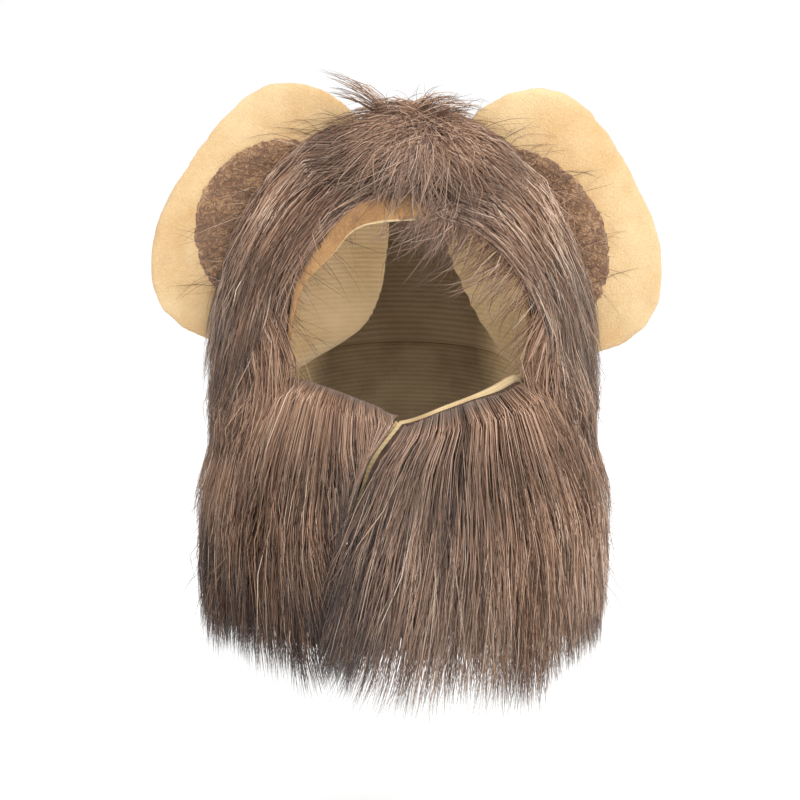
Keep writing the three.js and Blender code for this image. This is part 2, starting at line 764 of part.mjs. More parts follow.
const core = hoodCore(gap);
const ears = { left: earPlate(earSeats.left, 0).subtract(core), right: earPlate(earSeats.right, 0).subtract(core) };
const pads = { left: earPad(earSeats.left, 0).subtract(core), right: earPad(earSeats.right, 0).subtract(core) };
const room = gap + 0.1;
const earRoom = join([
  earPlate(earSeats.left, room), earPlate(earSeats.right, room),
  earPad(earSeats.left, room), earPad(earSeats.right, room),
]);
const seam = gap / 2;
const taken = join([core, earRoom, collarFur(room), openingHem(room)]);
const faceLeft = laneFur(-1).intersect(region(null, -seam, null, earSeat - seam)).subtract(taken);
const faceRight = laneFur(1).intersect(region(seam, null, null, earSeat - seam)).subtract(taken);
const back = backFur().intersect(region(null, null, earSeat + seam, null)).subtract(taken);
const tuft = join([tuftCap(), ...tuftRows.map(tuftLock)]).subtract(crownBlock());

const wig = new THREE.Group();
wig.position.z = -hoodHeight;
wig.add(
  meshOf('hood_backing', hoodBacking(), creamKnit, 0.95),
  meshOf('opening_hem', openingHem(0), goldenCloth, 0.9),
  meshOf('collar_backing', collarBacking(), creamKnit, 0.95),
  meshOf('closure_tape', closureTape(), tapeGrey, 0.9),
  meshOf('face_fur_left', faceLeft, maneBrown, 0.6),
  meshOf('face_fur_right', faceRight, maneBrown, 0.6),
  meshOf('hood_fur', back, maneBrown, 0.6),
  meshOf('collar_fur', collarFur(0), maneBrown, 0.6),
  meshOf('crown_tuft', tuft, maneBrown, 0.6),
  meshOf('ear_left', ears.left, goldPlush, 0.85),
  meshOf('ear_right', ears.right, goldPlush, 0.85),
  meshOf('inner_ear_left', pads.left, curlyBrown, 0.95),
  meshOf('inner_ear_right', pads.right, curlyBrown, 0.95),
);

export default wig;
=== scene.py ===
# %% [markdown]
# # A lion mane wig for a small pet
#
# The real thing is a knitted hood with long fur sewn all over it, two padded ears on its side seams
# and a wrap-round neck band that carries a skirt of the same fur. We load the measured solids first
# and then dress them piece by piece, from the inside out: cloth, ears, underfur, and at last the
# long pile that makes the mane.

import bpy
import numpy as np
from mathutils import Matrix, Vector
from mathutils.kdtree import KDTree


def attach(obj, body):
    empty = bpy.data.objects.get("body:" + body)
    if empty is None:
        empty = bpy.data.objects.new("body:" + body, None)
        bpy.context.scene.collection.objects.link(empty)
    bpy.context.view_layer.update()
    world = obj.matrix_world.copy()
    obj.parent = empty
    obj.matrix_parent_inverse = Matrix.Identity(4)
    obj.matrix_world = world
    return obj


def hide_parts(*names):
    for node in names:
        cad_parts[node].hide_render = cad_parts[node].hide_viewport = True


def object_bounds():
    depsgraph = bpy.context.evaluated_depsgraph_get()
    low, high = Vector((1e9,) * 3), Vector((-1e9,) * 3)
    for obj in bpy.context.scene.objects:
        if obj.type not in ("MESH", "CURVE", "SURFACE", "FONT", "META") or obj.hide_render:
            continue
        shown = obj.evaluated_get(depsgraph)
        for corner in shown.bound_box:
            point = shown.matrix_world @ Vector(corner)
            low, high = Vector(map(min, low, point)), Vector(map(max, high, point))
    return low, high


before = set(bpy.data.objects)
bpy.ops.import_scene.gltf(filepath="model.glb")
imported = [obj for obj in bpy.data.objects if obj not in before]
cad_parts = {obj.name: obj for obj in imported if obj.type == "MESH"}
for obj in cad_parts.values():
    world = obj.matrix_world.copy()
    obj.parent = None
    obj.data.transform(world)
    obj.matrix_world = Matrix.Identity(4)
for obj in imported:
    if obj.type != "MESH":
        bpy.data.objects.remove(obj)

solid_box = [list(corner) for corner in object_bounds()]
MM = 0.001
draws = np.random.default_rng(11)
scene = bpy.context.scene
print("solids:", ", ".join(sorted(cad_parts)))

# %% [markdown]
# ## Camera, floor and light
#
# The photograph looks at the wig from slightly above, from about a metre away. A long lens keeps the
# shapes calm, as a product photographer would, and a pale sweep under even studio light leaves the
# fur's own shadows to do the drawing.

# %% Camera
ELEVATION = np.radians(15.5)
DISTANCE = 1.0
camera_data = bpy.data.cameras.new("studio_camera")
camera_data.lens = 112.5
PHOTO_SIDE = 800    # pixels
camera_data.shift_x = -3 / PHOTO_SIDE
camera_data.shift_y = -28 / PHOTO_SIDE
camera = bpy.data.objects.new("studio_camera", camera_data)
scene.collection.objects.link(camera)
look_at = Vector((0, 0, -98 * MM))
back = Vector((0, -np.cos(ELEVATION), np.sin(ELEVATION)))
camera.location = look_at + back * DISTANCE
camera.rotation_euler = (-back).to_track_quat("-Z", "Y").to_euler()
scene.camera = camera
print("camera at", [round(c, 3) for c in camera.location])

# %% Colours and material nodes
def linear(hex_colour):
    """An sRGB hex value as the linear colour that the shaders work in."""
    parts = [int(hex_colour[i:i + 2], 16) / 255 for i in (1, 3, 5)]
    return [c / 12.92 if c <= 0.04045 else ((c + 0.055) / 1.055) ** 2.4 for c in parts] + [1.0]


def add_node(material, kind, settings=None, **links):
    """Adds a node: settings go on the node or on its sockets, and links feed its sockets."""
    node = material.node_tree.nodes.new(kind)
    for name, value in (settings or {}).items():
        if isinstance(name, int) or name in node.inputs:
            node.inputs[name].default_value = value
        else:
            setattr(node, name, value)
    for name, source in links.items():
        socket = node.inputs[int(name[1:])] if name[1:].isdigit() else node.inputs[name.replace("_", " ")]
        material.node_tree.links.new(source, socket)
    return node


def new_material(name, roughness):
    """A material with one Principled shader, and that shader."""
    material = bpy.data.materials.new(name)
    material.use_nodes = True
    shader = material.node_tree.nodes["Principled BSDF"]
    shader.inputs["Roughness"].default_value = roughness
    return material, shader


def calculate(material, operation, first, factor=None, added=None):
    """A math node: what first gives, with a factor and with what another node adds."""
    settings = {"operation": operation} if factor is None else {"operation": operation, 1: factor}
    links = {"_0": first} if added is None else {"_0": first, "_2": added}
    return add_node(material, "ShaderNodeMath", settings, **links).outputs[0]


def noise(material, place, scale, detail, **settings):
    sizes = {"Scale": scale, "Detail": detail, **settings}
    return add_node(material, "ShaderNodeTexNoise", sizes, Vector=place).outputs["Fac"]


def object_place(material):
    return add_node(material, "ShaderNodeTexCoord").outputs["Object"]


def colour_ramp(material, value, stops):
    """A colour ramp with (place, hex colour) stops."""
    ramp = add_node(material, "ShaderNodeValToRGB", _0=value)
    while len(ramp.color_ramp.elements) < len(stops):
        ramp.color_ramp.elements.new(0.5)
    for element, (place, colour) in zip(ramp.color_ramp.elements, stops):
        element.position = place
        element.color = linear(colour)
    return ramp.outputs["Color"]


def multiply_colours(material, first, second):
    settings = {"data_type": "RGBA", "blend_type": "MULTIPLY", 0: 1.0}
    return add_node(material, "ShaderNodeMix", settings, _6=first, _7=second).outputs[2]


def bump_from(material, height, strength, distance, **settings):
    settings = {"Strength": strength, "Distance": distance, **settings}
    return add_node(material, "ShaderNodeBump", settings, Height=height).outputs["Normal"]


def finish_shader(material, shader, colour, normal=None, **values):
    """Joins the colour and the relief to the shader and sets its other values."""
    material.node_tree.links.new(colour, shader.inputs["Base Color"])
    if normal is not None:
        material.node_tree.links.new(normal, shader.inputs["Normal"])
    for name, value in values.items():
        shader.inputs[name.replace("_", " ")].default_value = value


# %% Floor and studio light
def area_light(name, place, aim, size, power):
    """A soft box of white light at a place, turned to what it lights."""
    data = bpy.data.lights.new(name, "AREA")
    data.shape = "SQUARE"
    data.size = size
    data.energy = power
    light = bpy.data.objects.new(name, data)
    scene.collection.objects.link(light)
    light.location = place
    light.rotation_euler = (Vector(aim) - Vector(place)).to_track_quat("-Z", "Y").to_euler()


FLOOR_HEIGHT = solid_box[0][2] - 110 * MM
bpy.ops.mesh.primitive_plane_add(size=60, location=(0, 0, FLOOR_HEIGHT))
floor = bpy.context.object
floor.name = "studio_floor"
paper, paper_shader = new_material("matt_white_paper", 0.9)
paper_shader.inputs["Base Color"].default_value = linear("#ffffff")
floor.data.materials.append(paper)
area_light("key_light", (0.45, -0.9, 0.9), (0, 0, -0.08), 0.6, 13)
area_light("fill_light", (-0.9, -0.8, 0.3), (0, 0, -0.1), 0.9, 0.5)
area_light("top_light", (0, 0.25, 1.0), (0, 0, 0), 0.8, 3)
scene.world = bpy.data.worlds.new("studio_world")
scene.world.use_nodes = True
scene.world.node_tree.nodes["Background"].inputs["Color"].default_value = (1, 1, 1, 1)
scene.world.node_tree.nodes["Background"].inputs["Strength"].default_value = 0.98
scene.view_settings.view_transform = "Standard"
print("floor at", round(FLOOR_HEIGHT, 4))

# %% [markdown]
# ## The pattern
#
# A wig maker works from a paper pattern. Ours is the same few rows of shares that the solids were
# cut from: how high and how wide the hood is at each step down from its top, where the two folds
# push in, and how far the pile stands off. Everything below is laid out on this form.

# %% Sizes and pattern rows
# Millimetres, but for the overlap in degrees round the neck and the drape as a share
NECK = 48.0         # radius of the neck seam
HEIGHT = 98.0       # from the neck seam to the hood's top
WALL = 2.0          # how thick the cloth is
GAP = 0.3           # between parts that lie on each other
COLLAR = 52.0       # height of the neck band
FLARE = 8.0         # how much wider the band is at its foot
LIP = 5.0           # how far the band's edge stands up at the front
OVERLAP = 22.0      # how far the right flap lies over the left one
TAPE = 1.4
HEM = 8.0           # width of the turned edge above the face
HEM_THICK = 1.2
PILE = 30.0         # how far the fur stands off at the neck
RISE = 55.0         # what 1 in the first column of PILE_ROWS comes to
DROP = 36.0         # how far the hood's fur hangs over the band
FRINGE = 60.0       # how far the fringe hangs below the band
DRAPE = 0.36        # the part of "down", past the neck seam, that the drop takes

HOOD_ROWS = np.array([
    # down, up, out, rise, spread, left fold, right fold, left crest, right crest
    (0.00, 1.000, 0.00, 0.36, 0.00, 0.00, 0.00, 140, 130),
    (0.10, 0.985, 0.22, 0.32, 0.16, 0.00, 0.00, 140, 130),
    (0.20, 0.940, 0.46, 0.24, 0.29, 0.10, 0.10, 140, 130),
    (0.31, 0.860, 0.70, 0.14, 0.38, 0.46, 0.40, 140, 130),
    (0.42, 0.760, 0.88, 0.05, 0.48, 0.74, 0.62, 138, 128),
    (0.55, 0.620, 0.98, 0.00, 0.60, 0.84, 0.64, 134, 124),
    (0.68, 0.460, 1.02, 0.00, 0.73, 0.83, 0.58, 127, 117),
    (0.80, 0.300, 1.02, 0.00, 0.88, 0.78, 0.45, 118, 112),
    (0.90, 0.160, 1.01, 0.00, 1.00, 0.62, 0.30, 108, 107),
    (1.00, 0.000, 1.00, 0.00, 1.08, 0.14, 0.05, 104, 104),
])
HOOD_COLUMNS = ["down", "up", "out", "rise", "spread", "left", "right", "left_crest", "right_crest"]
# Where the folds begin, how far behind its crest each ends, and how blunt and how sharp each is
FOLD_FRONT, FOLD_BACK = 80.0, 26.0
FOLD_FORM = {"left": (1.5, 1.0), "right": (1.0, 1.15)}
OPENING_ROWS = np.array([
    # across, up
    (-0.95, 0.00), (-0.93, 0.14), (-0.84, 0.37), (-0.75, 0.475), (-0.54, 0.595), (-0.41, 0.675),
    (-0.24, 0.715), (0.06, 0.73), (0.42, 0.72), (0.60, 0.68), (0.74, 0.60), (0.89, 0.48),
    (0.98, 0.35), (1.03, 0.15), (1.03, 0.00),
])
OPENING_DEPTH = 0.17    # how far in front of the neck's axis the opening ends, in neck radii
LIP_ROWS = np.array([
    # angle, lift
    (-66, 0.0), (-58, 0.8), (-35, 0.8), (-15, 0.0), (0, -0.9), (18, 0.2), (39, 1.0), (62, 1.1), (75, 0.0),
])
SLIT_ROWS = np.array([
    # fall, angle
    (0.00, 2), (0.08, -1), (0.35, -12), (0.58, -16), (0.87, -20), (1.00, -21), (2.30, -26),
])
SLANT = 70.0            # how far round the neck the slit's slant is felt, in degrees
PILE_ROWS = np.array([
    # below, depth
    (0.00, 0.06), (0.15, 0.30), (0.36, 0.52), (0.64, 0.68), (1.00, 0.77), (1.55, 0.82), (2.20, 0.80),
])
LANE_ROWS = np.array([
    # down, angle
    (0.00, -6), (0.03, 70), (0.07, 128), (0.13, 148), (0.22, 134), (0.34, 112), (0.48, 102),
    (0.65, 98), (0.82, 98), (0.97, 98), (1.40, 98),
])
LANE_FORM = {-1: (1.0, 0.16), 1: (0.1, 0.36)}
EAR_ROWS = np.array([
    # along, out
    (-0.035, 0.26), (-0.015, 0.55), (0.05, 0.80), (0.16, 0.94), (0.34, 1.00), (0.52, 0.98),
    (0.70, 0.92), (0.86, 0.76), (0.97, 0.54), (1.01, 0.28),
])
EAR_LENGTH, EAR_REACH, EAR_THICK, EAR_SEAT, EAR_TWIST = 108.0, 50.0, 6.5, 6.0, 12.0
EAR_SEATS = {
    # top across, top up, foot across, foot up, spread
    -1: (0.28, 0.98, 1.66, 0.13, 0.98),
    1: (0.47, 0.99, 1.62, 0.09, 0.98),
}
PADS = {
    # along, out, half, reach
    -1: (0.47, 0.10, 0.335, 0.66),
    1: (0.47, 0.00, 0.36, 0.60),
}

# %% [markdown]
# ## From pattern to form
#
# Each function takes whole arrays of angles and heights, so that a cloth of ten thousand corners or a
# mane of forty thousand hairs is laid out at one stroke.

# %% The form of the hood
def along_rows(rows, at, column=1):
    """The value of a column at a place between the rows, on a smooth line through them."""
    x, y = rows[:, 0], rows[:, column]
    slope = np.empty_like(y)
    slope[1:-1] = (y[2:] - y[:-2]) / (x[2:] - x[:-2])
    slope[0] = (y[1] - y[0]) / (x[1] - x[0])
    slope[-1] = (y[-1] - y[-2]) / (x[-1] - x[-2])
    at = np.clip(at, x[0], x[-1])
    i = np.clip(np.searchsorted(x, at), 1, len(x) - 1)
    span = x[i] - x[i - 1]
    t = (at - x[i - 1]) / span
    return (y[i - 1] * (2 * t**3 - 3 * t**2 + 1) + slope[i - 1] * span * (t**3 - 2 * t**2 + t)
            + y[i] * (3 * t**2 - 2 * t**3) + slope[i] * span * (t**3 - t**2))


def hood(column, down):
    return along_rows(HOOD_ROWS, down, HOOD_COLUMNS.index(column))


def smooth(x, low, high):
    t = np.clip((x - low) / (high - low), 0, 1)
    return t * t * (3 - 2 * t)


def mix(a, b, t):
    return a + (b - a) * t


def around(angle, radius, height):
    """Points at an angle round the neck, from the front towards the right ear, in millimetres."""
    turn = np.radians(angle)
    return np.stack(np.broadcast_arrays(radius * np.sin(turn), -radius * np.cos(turn), height), axis=-1)


DOWN_LINE = np.linspace(0, 1, 400)
UP_LINE = hood("up", DOWN_LINE) * HEIGHT


def down_at(height):
    return np.interp(-np.asarray(height), -UP_LINE, DOWN_LINE)


def fold_at(angle, down):
    """How deep the two folds push the cloth in, as a share of the local radius."""
    turn = np.abs(angle)
    depth = np.zeros(np.broadcast(angle, down).shape)
    for side, here in (("left", angle < 0), ("right", angle >= 0)):
        crest = hood(f"{side}_crest", down)
        bulge, sharp = FOLD_FORM[side]
        away = np.where(turn < crest, (crest - turn) / (crest - FOLD_FRONT), (turn - crest) / FOLD_BACK)
        pushed = np.maximum(0, hood(side, down)) * (1 - np.clip(away, 0, 1)**bulge)**sharp
        depth = np.where(here & (turn > FOLD_FRONT) & (turn < crest + FOLD_BACK), pushed, depth)
    return depth


def cloth_point(angle, down, stand):
    """Points of the hood's cloth, standing off its inner face."""
    out = np.minimum(1, hood("out", down))
    up = np.sqrt(1 - out * out)
    radius = NECK * np.maximum(0, hood("out", down)) * (1 - fold_at(angle, down))
    return around(angle, radius + stand * out, HEIGHT * hood("up", down) + stand * up)


# %% The edge of the face opening
def opening_line(count=600):
    """The opening's edge in front elevation as closely spaced points, and their share of its length."""
    corners = OPENING_ROWS * (NECK, HEIGHT)
    padded = np.vstack([2 * corners[0] - corners[1], corners, 2 * corners[-1] - corners[-2]])
    t = np.linspace(0, len(corners) - 1 - 1e-9, count)
    i = t.astype(int)
    f = (t - i)[:, None]
    a, b, c, d = (padded[i + k] for k in range(4))
    line = 0.5 * (2 * b + (c - a) * f + (2 * a - 5 * b + 4 * c - d) * f**2
                  + (3 * b - a - 3 * c + d) * f**3)
    share = np.concatenate([[0], np.cumsum(np.linalg.norm(np.diff(line, axis=0), axis=1))])
    return line, share / share[-1]


OPENING, OPENING_SHARE = opening_line()


def hem_at(share):
    return HEM * mix(1, 0.25, smooth(np.abs(share - 0.5), 0.12, 0.42))


FACE_MIDDLE = 0.3 * HEIGHT


def hood_edge(share, margin):
    """Where the opening's edge lies on the hood, moved outwards from the middle of the face."""
    x = np.interp(share, OPENING_SHARE, OPENING[:, 0])
    z = np.interp(share, OPENING_SHARE, OPENING[:, 1])
    reach = np.hypot(x, z - FACE_MIDDLE)
    radius = NECK * hood("out", down_at(z)) + WALL
    angle = np.arcsin(np.clip(x / radius, -0.975, 0.975)) + x / reach * margin / radius
    return np.degrees(angle), down_at(z + (z - FACE_MIDDLE) / reach * margin)


# %% The form of the neck band
FLAP_LIFT = WALL + TAPE + 2 * GAP


def slit_angle(height):
    return along_rows(SLIT_ROWS, -height / COLLAR)


def band_angle(turn, height):
    away = np.minimum(turn, np.maximum(0, 360 - turn))
    return turn + slit_angle(height) * np.clip(1 - away / SLANT, 0, 1)**2


def band_lift(turn):
    return FLAP_LIFT * (1 - smooth(turn, OVERLAP + 6, OVERLAP + 44))


def band_radius(height):
    return NECK + FLARE * np.clip(-height / COLLAR, 0, 1)


def signed(angle):
    return (np.asarray(angle) + 180) % 360 - 180


def band_top(angle):
    side = signed(angle)
    covered = (side <= LIP_ROWS[0, 0]) | (side >= LIP_ROWS[-1, 0])
    return np.where(covered, 0, LIP * along_rows(LIP_ROWS, side)) - GAP


def band_pile(angle, height, turn):
    """The outer radius of the pile on the band."""
    below = (band_top(angle) - height) / RISE
    return band_radius(height) + WALL + 2 * GAP + band_lift(turn) + PILE * along_rows(PILE_ROWS, below)


# %% The form of the fur
def fur_point(angle, down, layer):
    """Points of the hood's fur: layer 0 at the roots and layer 1 at the tips."""
    angle, down, layer = np.broadcast_arrays(np.asarray(angle, float), down, layer)
    root = cloth_point(angle, np.minimum(down, 1), WALL)
    flat_root = around(angle, NECK * hood("out", down) + WALL, HEIGHT * hood("up", down))
    root = np.where((down < 0.9)[..., None], root, flat_root)
    radius = NECK * hood("out", down) + PILE * hood("spread", down)
    tip = around(angle, radius, HEIGHT * hood("up", down) + PILE * hood("rise", down))
    upper = mix(root, tip, layer[..., None])
    drop = np.maximum(0, (down - 1) / DRAPE * DROP)
    height = np.minimum(GAP, -drop)
    rest = band_pile(signed(angle), height, angle % 360) + 0.5
    free = NECK + PILE * hood("spread", np.ones_like(down))
    fade = smooth(down, 1 + DRAPE * 0.35, 1 + DRAPE)
    lower = around(angle, mix(rest, mix(free, rest + 2.5, fade), layer), height)
    blend = smooth(down, 0.94, 1.02)[..., None]
    return mix(upper, lower, blend)


def lane_point(side, across, down, layer):
    """Points of the fur band on one side of the face: across from the opening's edge to the ear seam."""
    hem_shown, edge_depth = LANE_FORM[side]
    share = 0.5 + side * 0.5 * np.clip(down, 0, 1)
    shown = mix(1.0, hem_shown, smooth(down, 0.0, 0.09))
    edge_angle, edge_down = hood_edge(share, shown * hem_at(share) + 4 * GAP)
    start = LANE_ROWS[0, 1]
    inner = np.abs(edge_angle) - np.maximum(0, down - 1) * 30
    inner = mix(start, inner, smooth(down, 0, 0.02))
    outer = along_rows(LANE_ROWS, down)
    below = smooth(down, 0.94, 1.0)
    inner_down = mix(edge_down, down, below)
    outer_down = mix(np.maximum(0.02, down), down, below)
    depth = mix(edge_depth, 1, np.sin(np.clip(across / 0.6, 0, 1) * np.pi / 2))
    return fur_point(side * mix(inner, outer, across), mix(inner_down, outer_down, across), layer * depth)


def collar_point(turn, height, layer):
    """Points of the fur on the neck band: layer 0 at the cloth and layer 1 at the tips."""
    angle = band_angle(turn, height)
    cloth = band_radius(height) + WALL + band_lift(turn)
    tip = band_pile(angle, height, turn)
    seam = mix(0.5, 1, smooth(np.minimum(turn, 360 - turn), 0, 16))
    return around(angle, mix(cloth, tip, layer * seam), height)


def pile_start(turn):
    """Where the band's pile starts: over the edge on the left, and below a bared lip on the right."""
    top = band_top(band_angle(turn, np.zeros_like(turn)) % 360)
    return top + np.where(turn > 180, 0.6, -1.0 - 1.7 * smooth(turn, 25, 50) * smooth(turn, 90, 70))


def turn_for(angle, height):
    """The turn whose slanted line passes through an angle at a height."""
    turn = np.array(angle, float)
    for _ in range(8):
        away = np.minimum(turn, np.maximum(0, 360 - turn))
        turn = angle - slit_angle(height) * np.clip(1 - away / SLANT, 0, 1)**2
    return turn


print("face opening:", round(float(np.ptp(OPENING[:, 1])), 1), "mm high")

# %% [markdown]
# ## Cloth
#
# The hood is a soft rib knit, cut from flat cloth and sewn into shape. We do the same: a flat grid is
# the cut piece, and each of its corners is laid onto the form. The grid keeps its flat coordinates as
# a UV map, so the ribs of the knit follow the cloth into the folds.

# %% Laying and finishing a cloth
WELD = 0.02 * MM


def corners_of(piece):
    co = np.zeros(len(piece.data.vertices) * 3, np.float32)
    piece.data.vertices.foreach_get("co", co)
    return co.reshape(-1, 3).astype(float)


def place_corners(piece, points):
    piece.data.vertices.foreach_set("co", points.astype(np.float32).ravel())
    piece.data.update()


def settle(points):
    """Pattern millimetres, counted from the neck seam, as metres from the inside top of the hood."""
    return (points - (0, 0, HEIGHT)) * MM


def select_only(piece):
    bpy.ops.object.select_all(action="DESELECT")
    bpy.context.view_layer.objects.active = piece
    piece.select_set(True)


def in_edit_mode(piece, operator, **settings):
    """Runs one mesh operator on the whole of a piece."""
    select_only(piece)
    bpy.ops.object.mode_set(mode="EDIT")
    bpy.ops.mesh.select_all(action="SELECT")
    operator(**settings)
    bpy.ops.object.mode_set(mode="OBJECT")


def weld(piece):
    in_edit_mode(piece, bpy.ops.mesh.remove_doubles, threshold=WELD)


def new_piece(name, mesh):
    piece = bpy.data.objects.new(name, mesh)
    scene.collection.objects.link(piece)
    return piece


def piece_from(name, points, faces):
    """A piece with these corners, in pattern millimetres, and these faces."""
    mesh = bpy.data.meshes.new(name)
    mesh.from_pydata(settle(points).tolist(), [], faces)
    return new_piece(name, mesh)


def lay_cloth(name, columns, rows, place):
    """A flat cloth laid onto the form: place turns its flat shares into points."""
    bpy.ops.object.select_all(action="DESELECT")
    bpy.ops.mesh.primitive_grid_add(x_subdivisions=columns, y_subdivisions=rows, size=1)
    piece = bpy.context.object
    piece.name = piece.data.name = name
    flat = corners_of(piece) + 0.5
    place_corners(piece, settle(place(flat[:, 0], flat[:, 1])))
    weld(piece)
    return piece


def apply_modifier(piece, kind, **settings):
    """Adds a modifier, sets it and applies it."""
    select_only(piece)
    modifier = piece.modifiers.new(kind.title(), kind)
    for name, value in settings.items():
        setattr(modifier, name, value)
    bpy.ops.object.modifier_apply(modifier=modifier.name)


def triangles(piece):
    return sum(len(face.vertices) - 2 for face in piece.data.polygons)


def dress(piece, material, stands_for, soft_angle=60):
    """Gives a finished piece its material, smooth faces and its body, and hides the solids that it stands
    for.
    """
    select_only(piece)
    piece.data.materials.clear()
    piece.data.materials.append(material)
    bpy.ops.object.shade_smooth_by_angle(angle=np.radians(soft_angle))
    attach(piece, "root")
    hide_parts(*stands_for)
    print(f"{piece.name}: {triangles(piece):,} triangles")


# %% [markdown]
# ### The knit
#
# Cotton rib knit, cream and matt. Fine ribs two millimetres apart run round the hood, and the small
# stitches cross them. The colour wanders a little, as undyed yarn does, and the grooves between the
# ribs are painted a little darker, as shade.

# %% Rib knit material
def rib_knit(name, rib_count, stitch_count, light, dark):
    material, shader = new_material(name, 0.95)
    place = object_place(material)
    uv = add_node(material, "ShaderNodeUVMap", {"uv_map": "UVMap"})
    flat = add_node(material, "ShaderNodeSeparateXYZ", _0=uv.outputs["UV"])
    wander = noise(material, place, 55.0, 3.0)
    up = calculate(material, "MULTIPLY_ADD", wander, 0.006, flat.outputs["Y"])
    ribs = calculate(material, "MULTIPLY", up, rib_count * 2 * np.pi)
    rib = calculate(material, "SINE", ribs)
    rows = calculate(material, "MULTIPLY", flat.outputs["X"], stitch_count * 2 * np.pi)
    stitch = calculate(material, "SINE", rows)
    relief = calculate(material, "MULTIPLY_ADD", stitch, 0.12, rib)
    yarn = noise(material, place, 900.0, 2.0)
    height = calculate(material, "MULTIPLY_ADD", yarn, 1.2, relief)
    # Painted shade: the grooves between the ribs come out a little darker
    shade = calculate(material, "MULTIPLY_ADD", relief, 0.04, wander)
    colour = colour_ramp(material, shade, [(0.25, dark), (0.65, light)])
    # The far side of the hood lies in the shade of its own opening
    depth = add_node(material, "ShaderNodeSeparateXYZ", _0=place)
    limits = {"From Min": 0.026, "From Max": 0.038, "To Min": 1.0, "To Max": 0.36}
    shaded = add_node(material, "ShaderNodeMapRange", limits, Value=depth.outputs["Y"])
    tint = multiply_colours(material, colour, shaded.outputs["Result"])
    bump = bump_from(material, height, 0.22, 0.6 * MM)
    finish_shader(material, shader, tint, bump, Sheen_Weight=0.15)
    return material


hood_knit = rib_knit("cotton_rib_knit", 66, 150, "#e0c59a", "#c3a577")
band_knit = rib_knit("cotton_rib_knit_band", 26, 180, "#d3b98c", "#a98b62")

# %% [markdown]
# ### The hood
#
# One cloth from the crown down to the neck seam. It is laid as a whole and the face opening is then
# cut out of it, because a cut shows the cloth's real edge, two millimetres thick.

# %% Hood cloth with its face opening
def on_hood(across, up):
    return cloth_point(mix(-180, 180, across), 1 - up, 0)


def thicken_hood(piece):
    """Gives the cloth its wall. The outer face stands off away from the neck's axis, so that the two
    sides of a tight fold never push through each other."""
    inner = corners_of(piece)
    apply_modifier(piece, "SOLIDIFY", thickness=WALL * MM, offset=1)
    laid = inner / MM + (0, 0, HEIGHT)
    angle = np.degrees(np.arctan2(laid[:, 0], -laid[:, 1]))
    outer = settle(cloth_point(angle, down_at(laid[:, 2]), WALL))
    shift = np.abs(corners_of(piece)[:len(inner)] - inner).max()
    place_corners(piece, np.vstack([inner, outer]))
    print(f"hood wall laid, inner face moved {shift / MM:.3f} mm")


hood_cloth = lay_cloth("hood_cloth", 150, 60, on_hood)
thicken_hood(hood_cloth)


def opening_block():
    """A block with the opening's outline, standing in front of the hood's middle."""
    below_seam = -3.0
    outline = [(OPENING[0, 0], below_seam), *map(tuple, OPENING[::8]), tuple(OPENING[-1]),
               (OPENING[-1, 0], below_seam)]
    near, far = -OPENING_DEPTH * NECK, -2 * NECK
    points = [(x, y, z) for y in (near, far) for x, z in outline]
    n = len(outline)
    ends = [tuple(range(n))[::-1], tuple(range(n, 2 * n))]
    sides = [(i, (i + 1) % n, n + (i + 1) % n, n + i) for i in range(n)]
    block = piece_from("opening_block", np.array(points), ends + sides)
    in_edit_mode(block, bpy.ops.mesh.normals_make_consistent, inside=False)
    return block


block = opening_block()
apply_modifier(hood_cloth, "BOOLEAN", operation="DIFFERENCE", object=block, solver="EXACT")
bpy.data.objects.remove(block)
dress(hood_cloth, hood_knit, ["hood_backing"], soft_angle=50)

# %% [markdown]
# ### The hem
#
# The hood's edge is turned out over itself and stitched down. Its golden nap shows as a narrow band
# between the face opening and the fur, widest at the upper left. A turned edge is plump, so the strip
# is laid with a rounded back.

# %% Turned hem
def on_hem(across, up):
    share = mix(0.03, 0.97, across)
    bulge = np.sin(np.pi * np.clip(up, 0, 1))**0.5
    angle, down = hood_edge(share, up * hem_at(share))
    return cloth_point(angle, down, WALL + GAP + 0.9 * bulge)


def nap_material(name, light, dark, grain_scale, strength):
    """Short golden nap: soft patches where the pile leans, over a very fine grain."""
    material, shader = new_material(name, 0.9)
    place = object_place(material)
    patches = noise(material, place, 38.0, 4.0, Roughness=0.6)
    grain = noise(material, place, grain_scale, 3.0, Roughness=0.7)
    blend = calculate(material, "MULTIPLY_ADD", grain, 0.55, patches)
    colour = colour_ramp(material, blend, [(0.5, dark), (0.95, light)])
    bump = bump_from(material, grain, strength, 0.8 * MM)
    finish_shader(material, shader, colour, bump, Sheen_Weight=0.35, Sheen_Roughness=0.4)
    return material


hem_nap = nap_material("brushed_golden_hem", "#c0935f", "#845e3b", 900.0, 0.6)
hem_strip = lay_cloth("turned_hem", 120, 8, on_hem)
apply_modifier(hem_strip, "SOLIDIFY", thickness=HEM_THICK * 0.6 * MM, offset=-1)
dress(hem_strip, hem_nap, ["opening_hem"])

# %% [markdown]
# ### The neck band
#
# A straight strip of the same knit goes once round the neck and then some: its right end lies over
# its left one, with a slanting free edge whose cream cloth shows between the two sides of the fur.

# %% Neck band cloth and its hidden fastening
def on_band(across, up):
    turn = across * (360 + OVERLAP)
    top = band_top(band_angle(turn, np.zeros_like(turn)) % 360) - 2.5 * smooth(turn, 357, 362)
    height = mix(-COLLAR, top, up)
    return around(band_angle(turn, height), band_radius(height) + band_lift(turn), height)


neck_band = lay_cloth("neck_band", 160, 13, on_band)
apply_modifier(neck_band, "SOLIDIFY", thickness=WALL * MM, offset=1)
apply_modifier(neck_band, "BEVEL", width=0.5 * MM, segments=2, limit_method="ANGLE",
               angle_limit=np.radians(50))
dress(neck_band, band_knit, ["collar_backing"])

